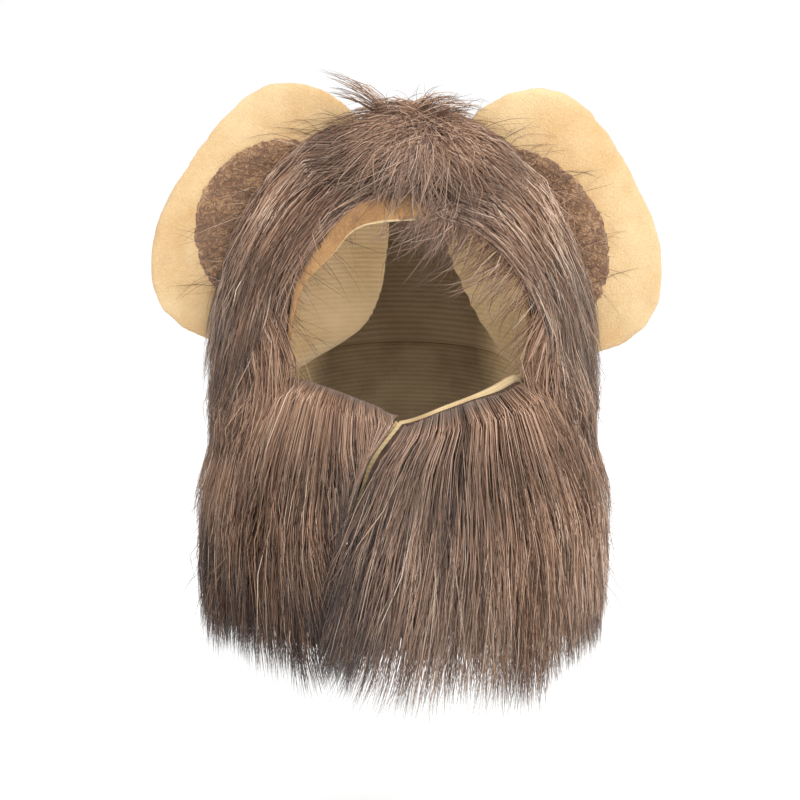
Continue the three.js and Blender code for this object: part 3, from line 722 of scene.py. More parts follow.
tape_weave, tape_shader = new_material("woven_fastening_tape", 0.9)
tape_threads = add_node(tape_weave, "ShaderNodeTexWave", {"Scale": 260.0, "Distortion": 1.0},
                        Vector=object_place(tape_weave))
tape_colour = colour_ramp(tape_weave, tape_threads.outputs["Fac"], [(0.2, "#4b4641"), (0.8, "#6a645d")])
finish_shader(tape_weave, tape_shader, tape_colour)
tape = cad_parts["closure_tape"]
tape.data.materials.clear()
tape.data.materials.append(tape_weave)

# %% [markdown]
# ## Ears
#
# Two layers of gold plush with thin wadding between them. The solid gives the cut shape; we copy it,
# weld it, give it even faces and let a cloth simulation blow it up gently, so that the faces crown and
# the edge puckers the way a sewn edge does.

# %% Padding by simulation
ROOT_HELD = 14.0    # how far out of its seam an ear is still held back, in millimetres


def welded_copy(node, name, voxel):
    """A copy of a measured solid with its corners merged and its faces made even."""
    piece = new_piece(name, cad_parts[node].data.copy())
    piece.data.name = name
    weld(piece)
    apply_modifier(piece, "REMESH", mode="VOXEL", voxel_size=voxel * MM)
    return piece


def ear_axes(side):
    """The top of an ear's seam, the ways along it and out from it, and how wide the ear spreads."""
    top_across, top_up, foot_across, foot_up, spread = EAR_SEATS[side]
    top = np.array((side * top_across * NECK, 0, top_up * HEIGHT))
    foot = np.array((side * foot_across * NECK, 0, foot_up * HEIGHT))
    along = (foot - top) / np.linalg.norm(foot - top)
    return top, along, np.array((-along[2] * side, 0, along[0] * side)), spread


def blow_up(piece, side, pressure, cap, frames=16):
    """Runs a short cloth simulation with air inside the ear and keeps each move under a cap. The root,
    which is sewn into the hood's fold, stays where it is."""
    before = corners_of(piece)
    cloth = piece.modifiers.new("Cloth", "CLOTH")
    cloth.settings.use_pressure = True
    cloth.settings.uniform_pressure_force = pressure
    cloth.settings.effector_weights.gravity = 0
    cloth.settings.quality = 6
    cloth.settings.tension_stiffness = cloth.settings.compression_stiffness = 25
    for step in range(1, frames + 1):
        scene.frame_set(step)
    select_only(piece)
    bpy.ops.object.modifier_apply(modifier="Cloth")
    scene.frame_set(1)
    move = corners_of(piece) - before
    move -= move.mean(axis=0)
    top, _, out_axis, _ = ear_axes(side)
    out = (before / MM + (0, 0, HEIGHT) - top) @ out_axis
    move *= smooth(out, 0, ROOT_HELD)[:, None]
    length = np.linalg.norm(move, axis=1, keepdims=True)
    place_corners(piece, before + move * np.minimum(1, cap * MM / np.maximum(length, 1e-9)))
    print(f"{piece.name}: largest move {float(np.minimum(length, cap * MM).max()) / MM:.1f} mm")


gold_plush = nap_material("short_gold_plush", "#e3c596", "#c89d66", 1300.0, 0.9)
for side, node in ((-1, "ear_left"), (1, "ear_right")):
    ear = welded_copy(node, f"plush_{node}", 1.5)
    apply_modifier(ear, "SMOOTH", factor=0.5, iterations=14)
    blow_up(ear, side, 3.0, 2.2)
    dress(ear, gold_plush, [node])

# %% [markdown]
# ### Inner ears
#
# The brown pads are a curly plush, like a tiny fleece. Real curls stand out of the surface, so the
# copy is covered with a lumpy relief in its own mesh and a finer one in the material.

# %% Curly pads
def curly_material():
    material, shader = new_material("curly_brown_plush", 0.95)
    place = object_place(material)
    wobble = add_node(material, "ShaderNodeTexNoise", {"Scale": 420.0, "Detail": 3.0}, Vector=place)
    moved = add_node(material, "ShaderNodeMix", {"data_type": "VECTOR", 0: 0.006},
                     _4=place, _5=wobble.outputs["Color"])
    cells = add_node(material, "ShaderNodeTexVoronoi", {"Scale": 560.0}, Vector=moved.outputs[1])
    curls = cells.outputs["Distance"]
    patches = noise(material, place, 120.0, 4.0)
    # Painted shade: the gaps between the curls come out darker than their tops; the patches are the
    # plush's own tone
    tone = calculate(material, "MULTIPLY_ADD", curls, -0.75, patches)
    colour = colour_ramp(material, tone, [(0.0, "#846147"), (0.2, "#a37c59"), (0.42, "#bf966f")])
    bump = bump_from(material, curls, 1.0, 1.4 * MM, invert=True)
    finish_shader(material, shader, colour, bump, Sheen_Weight=0.25)
    return material


curly_plush = curly_material()
curl_noise = bpy.data.textures.new("curl_noise", "CLOUDS")
curl_noise.noise_scale = 0.0026
curl_noise.noise_depth = 2
for node in ("inner_ear_left", "inner_ear_right"):
    pad = welded_copy(node, f"curly_{node}", 1.1)
    apply_modifier(pad, "SMOOTH", factor=0.5, iterations=5)
    apply_modifier(pad, "DISPLACE", texture=curl_noise, texture_coords="LOCAL", strength=2.2 * MM,
                   mid_level=0.42)
    dress(pad, curly_plush, [node])

# %% [markdown]
# ## Fur
#
# Long acrylic pile, about sixty millimetres, brushed downwards. Two things make it read as fur. A dark
# underfur, its dark brown painted as the shade deep in the pile, fills the depth of the pile and keeps
# the light out, and over it lie tens of thousands of separate strands, bunched in locks whose tips
# come together.
#
# Each strand is a closed, three-sided, tapering thread. That is few faces for its length, and at the
# size of a pixel nobody can tell it from a round one.

# %% Fur material
def fur_material():
    """Acrylic pile: every strand has its own tone, with painted shade darkening it near the root, deep in
    the pile, a darker tip, and a soft long gloss.
    """
    material, shader = new_material("brushed_acrylic_pile", 0.5)
    fibre = add_node(material, "ShaderNodeAttribute", {"attribute_name": "fibre"})
    parts = add_node(material, "ShaderNodeSeparateColor", _0=fibre.outputs["Color"])
    colour = colour_ramp(material, parts.outputs[0], FUR_STOPS)
    shade = colour_ramp(material, parts.outputs[1], ROOT_SHADE_AND_TIP_STOPS)
    finish_shader(material, shader, multiply_colours(material, colour, shade),
                  Specular_IOR_Level=0.35, Sheen_Weight=0.2, Sheen_Roughness=0.35)
    return material


FUR_STOPS = [(0.0, "#36231a"), (0.22, "#674a3a"), (0.5, "#a58067"), (0.75, "#ceab91"), (1.0, "#ead2bc")]
# Painted shade near the root, where a strand lies deep in the pile, and a darker tip
ROOT_SHADE_AND_TIP_STOPS = [(0.0, "#a2a2a2"), (0.4, "#ffffff"), (0.7, "#f2f2f2"), (1.0, "#b4b4b4")]
mane_fur = fur_material()


def underfur_material():
    """The lower pile, painted dark brown as the shade deep among the strands: streaks running down, seen
    only between the strands.
    """
    material, shader = new_material("underfur_in_painted_shade", 0.9)
    stretch = add_node(material, "ShaderNodeMapping", {"Scale": (900.0, 900.0, 40.0)},
                       Vector=object_place(material))
    streaks = noise(material, stretch.outputs[0], 1.0, 3.0)
    # Painted shade: these dark browns stand for the depth of the pile
    colour = colour_ramp(material, streaks, [(0.3, "#2c1f17"), (0.7, "#604838")])
    finish_shader(material, shader, colour, bump_from(material, streaks, 0.8, 1.0 * MM))
    return material


underfur = underfur_material()

# %% Keeping the pile off the ears
EAR_ROOM, PAD_ROOM = 1.2, 3.8


def clear_of_ears(points, front):
    """Moves points off both ears: before them for the face fur, behind them for the fur at the back."""
    points = points.copy()
    for side in (-1, 1):
        top, along_axis, out_axis, spread = ear_axes(side)
        along = (points - top) @ along_axis
        out = (points - top) @ out_axis
        width = np.interp(along / EAR_LENGTH, EAR_ROWS[:, 0], EAR_ROWS[:, 1], left=-9, right=-9)
        edge = width * EAR_REACH * spread
        middle = EAR_SEAT + EAR_TWIST * np.clip(out / EAR_REACH, 0, 1.2)**2 * (0.45 - along / EAR_LENGTH)
        pad_along, pad_out, pad_half, pad_reach = PADS[side]
        inward = np.where(out < pad_out * EAR_REACH, 0.5, 1)
        ring = np.hypot((along / EAR_LENGTH - pad_along) / pad_half,
                        (out / EAR_REACH - pad_out) / (pad_reach * inward))
        pad = np.where(ring < 1.04, PAD_ROOM, 0)
        half = EAR_THICK / 2 + EAR_ROOM
        deep = points[..., 1]
        moved = np.minimum(deep, middle - half - pad) if front else np.maximum(deep, middle + half)
        points[..., 1] = np.where((out < edge + 1.5) & (out > -28), moved, deep)
    return points


# %% [markdown]
# ### Underfur
#
# Four closed skins, one under each region of the pile, at a little over half its depth. Their lower
# edges end in blunt points, one for each lock.

# %% Underfur skins
def closed_skin(name, columns, shares, place):
    """A closed sheet with an inner and an outer face: place turns (across, down, layer) into points."""
    across, down = np.meshgrid(np.linspace(0, 1, columns + 1), shares)
    faces = [place(across, down, layer).reshape(-1, 3) for layer in (0.0, 1.0)]
    row, n = columns + 1, across.size
    quads = []
    for j in range(len(shares) - 1):
        for i in range(columns):
            a = j * row + i
            quads.append((a, a + 1, a + row + 1, a + row))
            quads.append((n + a, n + a + row, n + a + row + 1, n + a + 1))
        a, b = j * row, j * row + columns
        quads += [(a, a + row, n + a + row, n + a), (b, n + b, n + b + row, b + row)]
    last = (len(shares) - 1) * row
    for i in range(columns):
        a = last + i
        quads += [(i, n + i, n + i + 1, i + 1), (a, a + 1, n + a + 1, n + a)]
    return piece_from(name, np.vstack(faces), quads)


UNDER = 0.55


def lock_wave(across, locks):
    """From 0 in the middle of a lock to 1 in the groove beside it."""
    return np.abs(across * locks % 1 - 0.5)**2 * 4


def under_hood(across, down, layer, locks):
    """Where the skin ends, in blunt points, and how far it stands off."""
    groove = lock_wave(across, locks)
    end = np.where(down > 1, 1 + (down - 1) * (1 - 0.5 * groove), down)
    depth = UNDER * (1 - 0.25 * groove) * (1 - 0.6 * smooth(down, 1.05, 1.25))
    return end, mix(0.06, depth, layer)


def under_lane(side):
    def place(across, down, layer):
        end, depth = under_hood(across, down, layer, 8)
        points = lane_point(side, 1 - across if side < 0 else across, end, depth)
        return clear_of_ears(points, True) if layer else points
    return place


def under_back(across, down, layer):
    end, depth = under_hood(across, down, layer, 14)
    points = fur_point(signed(mix(96, 264, across)), end, depth)
    return clear_of_ears(points, False) if layer else points


def under_collar(across, down, layer):
    turn = mix(1.5, 358.5, across)
    groove = lock_wave(across, 30)
    top = pile_start(turn)
    bottom = -(COLLAR + FRINGE * (0.72 - 0.2 * groove))
    height = mix(top, bottom, down)
    depth = UNDER * (1 - 0.25 * groove) * (1 - 0.35 * smooth(down, 0.8, 1.0))
    inner = mix(0.02, 0.5 * depth, smooth(down, 0.5, 1.0))
    return collar_point(turn, height, mix(inner, depth, layer))


LANE_STEPS = [0.0, 0.02, 0.045, 0.08, 0.13, 0.19, 0.26, 0.34, 0.43, 0.52, 0.62, 0.72, 0.82, 0.9, 0.97,
              1.03, 1.08]
BACK_STEPS = [0.02, 0.06, 0.1, 0.16, 0.24, 0.32, 0.42, 0.52, 0.62, 0.72, 0.82, 0.9, 0.97, 1.03, 1.1, 1.2]
SKINS = [
    # name, columns, steps down, place, what it stands for
    ("underfur_face_left", 48, LANE_STEPS, under_lane(-1), "face_fur_left"),
    ("underfur_face_right", 48, LANE_STEPS, under_lane(1), "face_fur_right"),
    ("underfur_back", 84, BACK_STEPS, under_back, "hood_fur"),
    ("underfur_collar", 180, np.linspace(0, 1, 16), under_collar, "collar_fur"),
]
for name, columns, steps, place, solid in SKINS:
    dress(closed_skin(name, columns, steps, place), underfur, [solid])

# %% [markdown]
# ### Strands
#
# A strand is a line of five points. It starts inside the underfur, rises, and lies down along the
# brushed direction. Strands are bunched: each leans towards the middle line of its lock, more and
# more towards the tip, so that the locks end in ragged points.

# %% Threads from lines of points
SIDES = 3
DOME_CENTRE = 0.035     # metres below the hood's top, where the directions outwards start


def thread_corners(lines, width):
    """The corners of each thread: ring by ring from its root, and its tip last."""
    taper = np.interp(np.linspace(0, 1, lines.shape[1]), (0, 0.3, 0.7, 1), (0.9, 1.0, 0.75, 0.0))
    forward = np.gradient(lines, axis=1)
    forward /= np.maximum(np.linalg.norm(forward, axis=2, keepdims=True), 1e-12)
    outward = lines.copy()
    outward[..., 2] = np.maximum(lines[..., 2] + DOME_CENTRE, 0)
    sideways = np.cross(forward, outward)
    sideways /= np.maximum(np.linalg.norm(sideways, axis=2, keepdims=True), 1e-12)
    upward = np.cross(sideways, forward)
    turn = np.arange(SIDES) * 2 * np.pi / SIDES
    cosine, sine = np.cos(turn)[None, None, :, None], np.sin(turn)[None, None, :, None]
    ring = cosine * upward[:, :, None] + sine * sideways[:, :, None]
    radius = width[:, None] * taper[None, :]
    rings = lines[:, :-1, None] + ring[:, :-1] * radius[:, :-1, None, None]
    return np.concatenate([rings.reshape(len(lines), -1, 3), lines[:, -1:]], axis=1)


def thread_faces(points):
    """The faces of one thread: their corners in one row, where each face starts, and their UV spots."""
    quads, flats = [], [(0, 2, 1)]
    spots, flat_spots = [], [((0, 0), (0.02, 0), (0.01, 0.02))]
    for k in range(points - 2):
        for j in range(SIDES):
            n = (j + 1) % SIDES
            quads.append((k * SIDES + j, k * SIDES + n, (k + 1) * SIDES + n, (k + 1) * SIDES + j))
            u, w = j / SIDES, (j + 1) / SIDES
            v, x = (k + 0.1) / points, (k + 1.1) / points
            spots.append(((u, v), (w, v), (w, x), (u, x)))
    last = (points - 2) * SIDES
    for j in range(SIDES):
        n = (j + 1) % SIDES
        flats.append((last + j, last + n, last + SIDES))
        foot = (points - 0.9) / points
        flat_spots.append(((j / SIDES, foot), ((j + 1) / SIDES, foot), ((j + 0.5) / SIDES, 1.0)))
    pattern = np.concatenate([np.ravel(quads), np.ravel(flats)])
    starts = np.concatenate([4 * np.arange(len(quads)), 4 * len(quads) + 3 * np.arange(len(flats))])
    return pattern, starts, np.concatenate([np.reshape(spots, (-1, 2)), np.reshape(flat_spots, (-1, 2))])


def thread_mesh(name, lines, width, shade, first=0.0):
    """One mesh of closed, tapering threads: lines is (threads, points, 3) in metres, width the root's
    radius, shade a tone from 0 to 1 for each thread, and first how far along its fibre it starts: a
    strand whose root lies in the open starts further along and gets less of the painted root shade."""
    count, points, _ = lines.shape
    corners = thread_corners(lines, width)
    per = corners.shape[1]
    pattern, starts, spots = thread_faces(points)
    loops = (pattern[None] + per * np.arange(count)[:, None]).ravel()
    face_starts = (starts[None] + len(pattern) * np.arange(count)[:, None]).ravel()
    mesh = bpy.data.meshes.new(name)
    mesh.vertices.add(count * per)
    mesh.vertices.foreach_set("co", corners.astype(np.float32).ravel())
    mesh.loops.add(len(loops))
    mesh.loops.foreach_set("vertex_index", loops.astype(np.int32))
    mesh.polygons.add(len(face_starts))
    mesh.polygons.foreach_set("loop_start", face_starts.astype(np.int32))
    mesh.update(calc_edges=True)
    mesh.polygons.foreach_set("use_smooth", np.ones(len(face_starts), bool))
    # Each thread has a cell of its own on the UV map, with a tenth of it left bare as a margin
    cells = int(np.ceil(np.sqrt(count)))
    cell = np.stack([np.arange(count) % cells, np.arange(count) // cells], axis=1)
    uv = (spots[None] * 0.9 + cell[:, None]) / cells
    layer = mesh.uv_layers.new(name="OFBake")
    layer.data.foreach_set("uv", uv.astype(np.float32).ravel())
    tone = np.zeros((count, per, 4), np.float32)
    tone[..., 0] = shade[:, None]
    # How far along its fibre each corner lies: the material paints shade near the root from this
    tone[..., 1] = np.append(np.repeat(np.linspace(first, 1, points)[:-1], SIDES), 1.0)[None]
    tone[..., 3] = 1
    attribute = mesh.attributes.new("fibre", "FLOAT_COLOR", "POINT")
    attribute.data.foreach_set("color", tone.ravel())
    piece = new_piece(name, mesh)
    mesh.materials.append(mane_fur)
    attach(piece, "root")
    print(f"{name}: {count:,} threads, {triangles(piece):,} triangles")
    return piece


# %% Roots, spread evenly over a region and bunched in locks
STRAND_STEPS = np.linspace(0, 1, 5)
STRAND_RADIUS = 0.175 * MM
PILE_LENGTH = 57
PER_MM = 0.01       # how far down the hood one millimetre of a strand reaches
# Shares of the strands that lie deep in the pile, that are wavy, and that are light or dark
SUNKEN, UNRULY, LIGHT_HAIRS, DARK_HAIRS = 0.2, 0.12, 0.07, 0.1


def even_roots(place, low, high, count):
    """Random pairs of coordinates, as dense in one place of the surface as in another."""
    pairs = draws.uniform(low, high, (count * 4, 2))
    step = 1e-3
    here = place(pairs[:, 0], pairs[:, 1])
    a = place(pairs[:, 0] + step, pairs[:, 1]) - here
    b = place(pairs[:, 0], pairs[:, 1] + step) - here
    size = np.linalg.norm(np.cross(a, b), axis=1)
    return pairs[draws.choice(len(pairs), count, replace=False, p=size / size.sum())]


def locks_of(place, roots, lock_count):
    """The lock that each root belongs to: the index of the nearest lock's own root."""
    chosen = draws.choice(len(roots), lock_count, replace=False)
    tree = KDTree(lock_count)
    centres = place(roots[chosen, 0], roots[chosen, 1])
    for i, centre in enumerate(centres):
        tree.insert(centre, i)
    tree.balance()
    nearest = np.array([tree.find(p)[1] for p in place(roots[:, 0], roots[:, 1])])
    return roots[chosen][nearest], nearest


def ragged(count, spread):
    return 1 + draws.normal(0, spread, count).clip(-2.5 * spread, 2.5 * spread)


def tones(lock, lock_count, lines):
    """A tone for each strand: its lock's, its own, and now and then a light or a dark hair. The fur is
    painted lighter towards the right, where the key light falls, and painted darker on the left, most
    of all low down, as shade where the left hair dives under the flap."""
    across, up = lines[:, 2, 0] / MM, lines[:, 2, 2] / MM + HEIGHT
    # Painted light and shade: lighter to the right, darker to the left and lowest on the left
    low = smooth(-up, 20, 75)
    painted_light_tone = 0.5 + 0.05 * np.clip(across / 30, -1, 1) - 0.34 * low * smooth(-across, -10, 30)
    painted_light_tone = painted_light_tone - 0.05 * smooth(-across, 20, 80)
    own = painted_light_tone + draws.normal(0, 0.14, lock_count)[lock] + draws.normal(0, 0.23, len(lock))
    odd = draws.random(len(lock))
    own = np.where(odd < LIGHT_HAIRS, own + 0.3, np.where(odd > 1 - DARK_HAIRS, own - 0.28, own))
    return own.clip(0, 1)


def plain_tones(count, middle, spread):
    return (middle + draws.normal(0, spread, count)).clip(0, 1)


def rise_of(root, here):
    """How far out in the pile a strand lies: the higher its root, the further out."""
    return np.minimum(1.0, 1.2 * np.clip(1 - root / np.maximum(here, 1e-6), 0, 1)**0.4)


def strand_lines(place, roots, lock, length, reach, start=0.35, pull=0.7, drift=0.0, steer=None):
    """Lines of five points: place(across, down, depth) lays them, reach turns a length into down, pull
    leans the tips towards their lock, drift moves them across and steer corrects their way."""
    n = len(roots)
    t = STRAND_STEPS[None]
    down0 = roots[:, 1:2]
    down = down0 + reach * length[:, None] * t
    across = mix(roots[:, :1], lock[:, :1], pull * t**1.4)
    across = across + draws.normal(0, 0.008, (n, 1)) * t + drift * t
    if steer:
        across = steer(across, down)
    top = rise_of(down0, down) * draws.uniform(0.84, 1.03, (n, 1))
    top = np.where(draws.random((n, 1)) < SUNKEN, top * draws.uniform(0.45, 0.95, (n, 1)), top)
    depth = mix(start, np.maximum(top, start), smooth(t, 0, 0.32))
    points = place(across, down, depth)
    loose = np.where(draws.random((n, 1, 1)) < UNRULY, 1.7, 0.6)
    wave = draws.normal(0, 1, (n, 5, 3)) * loose * np.minimum(1, t * 1.5)[..., None]
    return points + wave


def lay_pile(name, lines, which, lock_count):
    """The strands of a region as one piece, each with its own thickness and tone."""
    width = STRAND_RADIUS * ragged(len(lines), 0.12)
    thread_mesh(name, lines, width, tones(which, lock_count, lines))


def hood_length(roots, which, lock_count, shortest, longest):
    """How long the hood's strands are: none may hang too far over the skirt."""
    length = PILE_LENGTH * ragged(len(roots), 0.09) * ragged(lock_count, 0.06)[which]
    room = (1.33 - roots[:, 1]) / PER_MM
    return np.minimum(length, room * draws.uniform(shortest, longest, len(roots)))


# %% Fur at both sides of the face
LANE_THREADS, LANE_LOCKS = 5000, 210
for side, word in ((-1, "left"), (1, "right")):
    def lane(across, down, depth=0.35):
        trim = 1 - 0.14 * smooth(across, 0.45, 0.95) * smooth(down, 0.75, 0.5)
        return lane_point(side, across, down, np.broadcast_to(depth, np.shape(down)) * trim)

    roots = even_roots(lane, (-0.03, 0.0), (0.97, 1.0), LANE_THREADS)
    lock, which = locks_of(lane, roots, LANE_LOCKS)
    drift = -draws.uniform(0, 0.16, (LANE_THREADS, 1)) * smooth(roots[:, :1], 0.3, 0.0)
    if side < 0:
        drift *= smooth(roots[:, 1:], 0.3, 0.6)
    length = hood_length(roots, which, LANE_LOCKS, 0.85, 1.05)
    lines = strand_lines(lane, roots, lock, length, PER_MM, drift=drift)
    lay_pile(f"pile_face_{word}", settle(clear_of_ears(lines, True)), which, LANE_LOCKS)

# %% Fur on the back of the hood
BACK_ANGLES = (97, 263)
BACK_THREADS, BACK_LOCKS = 6200, 330


def back_of_hood(across, down, depth=0.35):
    return fur_point(signed(mix(*BACK_ANGLES, across)), down, np.broadcast_to(depth, np.shape(down)))


roots = even_roots(back_of_hood, (0.0, 0.02), (1.0, 1.0), BACK_THREADS)
lock, which = locks_of(back_of_hood, roots, BACK_LOCKS)
length = hood_length(roots, which, BACK_LOCKS, 0.5, 1.08)
lines = strand_lines(back_of_hood, roots, lock, length, PER_MM)
lay_pile("pile_back", settle(clear_of_ears(lines, False)), which, BACK_LOCKS)

# %% [markdown]
# ### The skirt
#
# The band's own pile starts just under the neck seam and hangs past the band's lower edge, where its
# tips make the ragged fringe. The lowest rows of roots lie underneath and the highest lie on top.

# %% Fur on the neck band
FIRST_TURN, LAST_TURN = 2.0, 358.6
LEFT_OF_SLIT, AT_SLIT = 285, 358.4


def skirt(across, below, depth=0.35):
    turn = mix(FIRST_TURN, LAST_TURN, across)
    return collar_point(turn, pile_start(turn) - below * RISE, np.broadcast_to(depth, np.shape(below)))


def beside_the_slit(across, below):
    """Left of the slit the strands hang straight down and dive under the flap. Right of it they follow
    the flap's edge and lean over it."""
    turn = mix(FIRST_TURN, LAST_TURN, across)
    t = STRAND_STEPS[None]
    height = pile_start(turn) - below * RISE
    free = band_angle(turn, np.broadcast_to(height[:, :1], height.shape)) + 5 * t
    straight = np.minimum(turn_for(free, height), AT_SLIT + 9 * smooth(-height, 48, 85))
    leaning = turn - 6 * t**2 * np.clip(1 - turn[:, :1] / 30, 0, 1)
    turn = np.where(turn[:, :1] > LEFT_OF_SLIT, straight, leaning)
    return (turn - FIRST_TURN) / (LAST_TURN - FIRST_TURN)


# The front of the fringe is the longest, right of the middle
FRINGE_ROWS = np.array([
    # turn, longer
    (0, -1), (12, 6), (24, 15), (38, 21), (48, 16), (58, 12), (68, 7), (85, 3), (180, 2), (260, 4),
    (300, 5), (330, 6), (345, 5), (360, 4),
])
SKIRT_THREADS, SKIRT_LOCKS = 7900, 240
BAND_FOOT = COLLAR / RISE
for word, low, high in (("right", 0.0, 0.5), ("left", 0.5, 1.0)):
    roots = even_roots(skirt, (low, 0.0), (high, BAND_FOOT), SKIRT_THREADS)
    low_row = draws.random(len(roots)) < 0.3
    roots[low_row, 1] = BAND_FOOT * draws.uniform(0.75, 1.0, low_row.sum())
    lock, which = locks_of(skirt, roots, SKIRT_LOCKS)
    turn = mix(FIRST_TURN, LAST_TURN, roots[:, 0])
    longer = along_rows(FRINGE_ROWS, turn)
    length = (FRINGE + longer) * ragged(len(roots), 0.06) * ragged(SKIRT_LOCKS, 0.11)[which]
    lowest = COLLAR + FRINGE + 1 + 0.75 * longer
    lowest = lowest * draws.uniform(0.9, 1.0, SKIRT_LOCKS)[which] * draws.uniform(0.93, 1.0, len(roots))
    length = np.minimum(length, lowest - roots[:, 1] * RISE)
    lines = strand_lines(skirt, roots, lock, length, 1 / RISE, start=0.25, pull=0.86,
                         steer=beside_the_slit)
    lay_pile(f"pile_skirt_{word}", settle(lines), which, SKIRT_LOCKS)

# %% [markdown]
# Two more rows hide the seams, as a fur cutter would leave them: long strands that hang from the sides
# of the face over the skirt, and short ones that roll over the band's top edge.

# %% Strands over the seams
def over_the_skirt(side, count):
    """Long strands from the sides of the face, or from the back where side is 0, down over the skirt."""
    across, down = draws.uniform(0.0, 1.0, count), draws.uniform(0.6, 1.0, count)
    t = STRAND_STEPS[None]
    across = across[:, None] + 0 * t
    further, layer = down[:, None] + 0.25 * t, 0.6 + 0.4 * smooth(t, 0, 0.4)
    if side:
        first = lane_point(side, across, further, layer)
    else:
        first = fur_point(mix(*BACK_ANGLES, across), further, layer)
    angle = np.degrees(np.arctan2(first[:, :1, 0], -first[:, :1, 1]))
    angle = angle - side * draws.uniform(2, 24, (count, 1)) * smooth(across, 0.75, 0.0) * t
    height = first[:, :1, 2] - 58 * ragged(count, 0.14)[:, None] * t
    second = collar_point(angle % 360, height, draws.uniform(0.9, 1.16, (count, 1)) + 0 * t)
    laid = mix(first, second, smooth(t, 0.1, 0.6)[..., None])
    return laid + draws.normal(0, 0.6, (count, 5, 3)) * t[..., None]


def over_the_edge(low, high, lift, count):
    """Short strands that start on the band's top edge, roll outwards and lie down on the pile."""
    turn = draws.uniform(low, high, (count, 1))
    t = STRAND_STEPS[None]
    height = pile_start(turn) + 0.6 * lift - draws.uniform(22, 50, (count, 1)) * t**1.3
    if low > 180:
        free = band_angle(turn, np.broadcast_to(height[:, :1], height.shape)) + 6 * t
        turn = np.minimum(turn_for(free, height), AT_SLIT)
    below = collar_point(turn, height, draws.uniform(0.8, 1.1, (count, 1)) + 0 * t)
    roll = 1.6 * np.sin(np.pi * np.clip(t / 0.5, 0, 1))
    below[..., 2] += roll * lift * 0.5
    out = below[..., :2] / np.linalg.norm(below[..., :2], axis=-1, keepdims=True)
    below[..., :2] += out * (roll - np.where(t == 0, 1.5, 0))[..., None]
    return below + draws.normal(0, 0.45, (count, 5, 3)) * t[..., None]


seam_lines = np.concatenate([over_the_skirt(-1, 1250), over_the_skirt(1, 1250), over_the_skirt(0, 900),
                             over_the_edge(LEFT_OF_SLIT, 358, 1.8, 800),
                             over_the_edge(2.5, 80, 0.0, 500)])
seam_tone = plain_tones(len(seam_lines), 0.5, 0.18)
seam_width = STRAND_RADIUS * ragged(len(seam_lines), 0.12)
thread_mesh("pile_seams", settle(seam_lines), seam_width, seam_tone, first=0.2)

# %% [markdown]
# ### The crown
#
# On top the hair parts at a small whorl and lies every which way. Loose strands cross the parting, a
# few wisps stick up over the left ear, and some hang over the top of the face opening.

# %% Whorl and wisps
CENTRE_HEIGHT = 0.36 * HEIGHT
PROFILE = fur_point(np.full(400, 90.0), DOWN_LINE, 1.0)
PROFILE_TILT = np.arctan2(PROFILE[:, 2] - CENTRE_HEIGHT, PROFILE[:, 0])


def on_pile(points, layer):
    """Moves points onto the pile, straight from the middle of the hood."""
    tilt = np.arctan2(points[..., 2] - CENTRE_HEIGHT, np.hypot(points[..., 0], points[..., 1]))
    down = np.interp(-tilt, -PROFILE_TILT, DOWN_LINE)
    return fur_point(np.degrees(np.arctan2(points[..., 0], -points[..., 1])), down, layer)


def whorl(count, centre, spread, length, heading, fan):
    """Strands that start round a point on the crown and run off over the pile in a fan of headings."""
    place = on_pile(centre + draws.normal(0, 1, (count, 3)) * spread, np.full(count, 0.6))
    turn = np.radians(heading + draws.uniform(-fan, fan, count))
    step = np.stack([np.sin(turn), -np.cos(turn), np.full(count, -0.1)], axis=1)
    size = (length * ragged(count, 0.25) / 4)[:, None]
    points = [place]
    bend = draws.normal(0, 0.4, (count, 1))
    for height in (0.98, 1.03, 1.03, 1.0):
        step = step + bend * np.stack([-step[:, 1], step[:, 0], step[:, 2] * 0], axis=1) * 0.5
        step[:, 2] -= 0.12
        step /= np.linalg.norm(step, axis=1, keepdims=True)
        layer = height + draws.normal(0, 0.08, count)
        points.append(on_pile(points[-1] + step * size, layer))
    return np.stack(points, axis=1)


def wisp(root, tip, bow, count, spread):
    """A few strands from a root to a tip, bowed upwards and coming together at the end."""
    root, tip = np.array(root, float), np.array(tip, float)
    t = STRAND_STEPS[None, :, None]
    start = root + draws.normal(0, spread, (count, 1, 3))
    end = tip + draws.normal(0, spread * 0.8, (count, 1, 3))
    end = mix(start, end, draws.uniform(0.6, 1.05, (count, 1, 1)))
    lift = np.array((0, -0.3, 1.0)) * bow * np.sin(np.pi * t) * draws.uniform(0.4, 1.3, (count, 1, 1))
    return mix(start, end, t) + lift


CROWN = np.array((11.0, -19.0, 105.0))
crown_lines = [whorl(300, CROWN, 7.0, 32, 0, 180), whorl(300, CROWN, 5.0, 42, -70, 45),
               whorl(300, CROWN, 5.0, 42, 75, 50), whorl(300, CROWN + (-2, -10, -2), 6.0, 36, -32, 40),
               whorl(160, CROWN + (2, -10, -2), 5.0, 38, 25, 35)]
WISPS = [
    # root, tip, bow, strands, spread
    ((-4, -8, 105), (-32, -12, 123), 4.0, 24, 0.9),
    ((-7, -8, 104), (-29, -14, 116), 3.0, 20, 1.0),
    ((8, -12, 104), (-14, -14, 110), 4.0, 40, 2.2),
    ((8, -12, 104), (33, -14, 109), 4.0, 36, 1.8),
    ((4, -10, 104), (24, -10, 112), 4.0, 30, 2.0),
    ((4, -10, 104), (14, -6, 113), 3.0, 30, 2.5),
]
crown_lines += [wisp(*row) for row in WISPS]


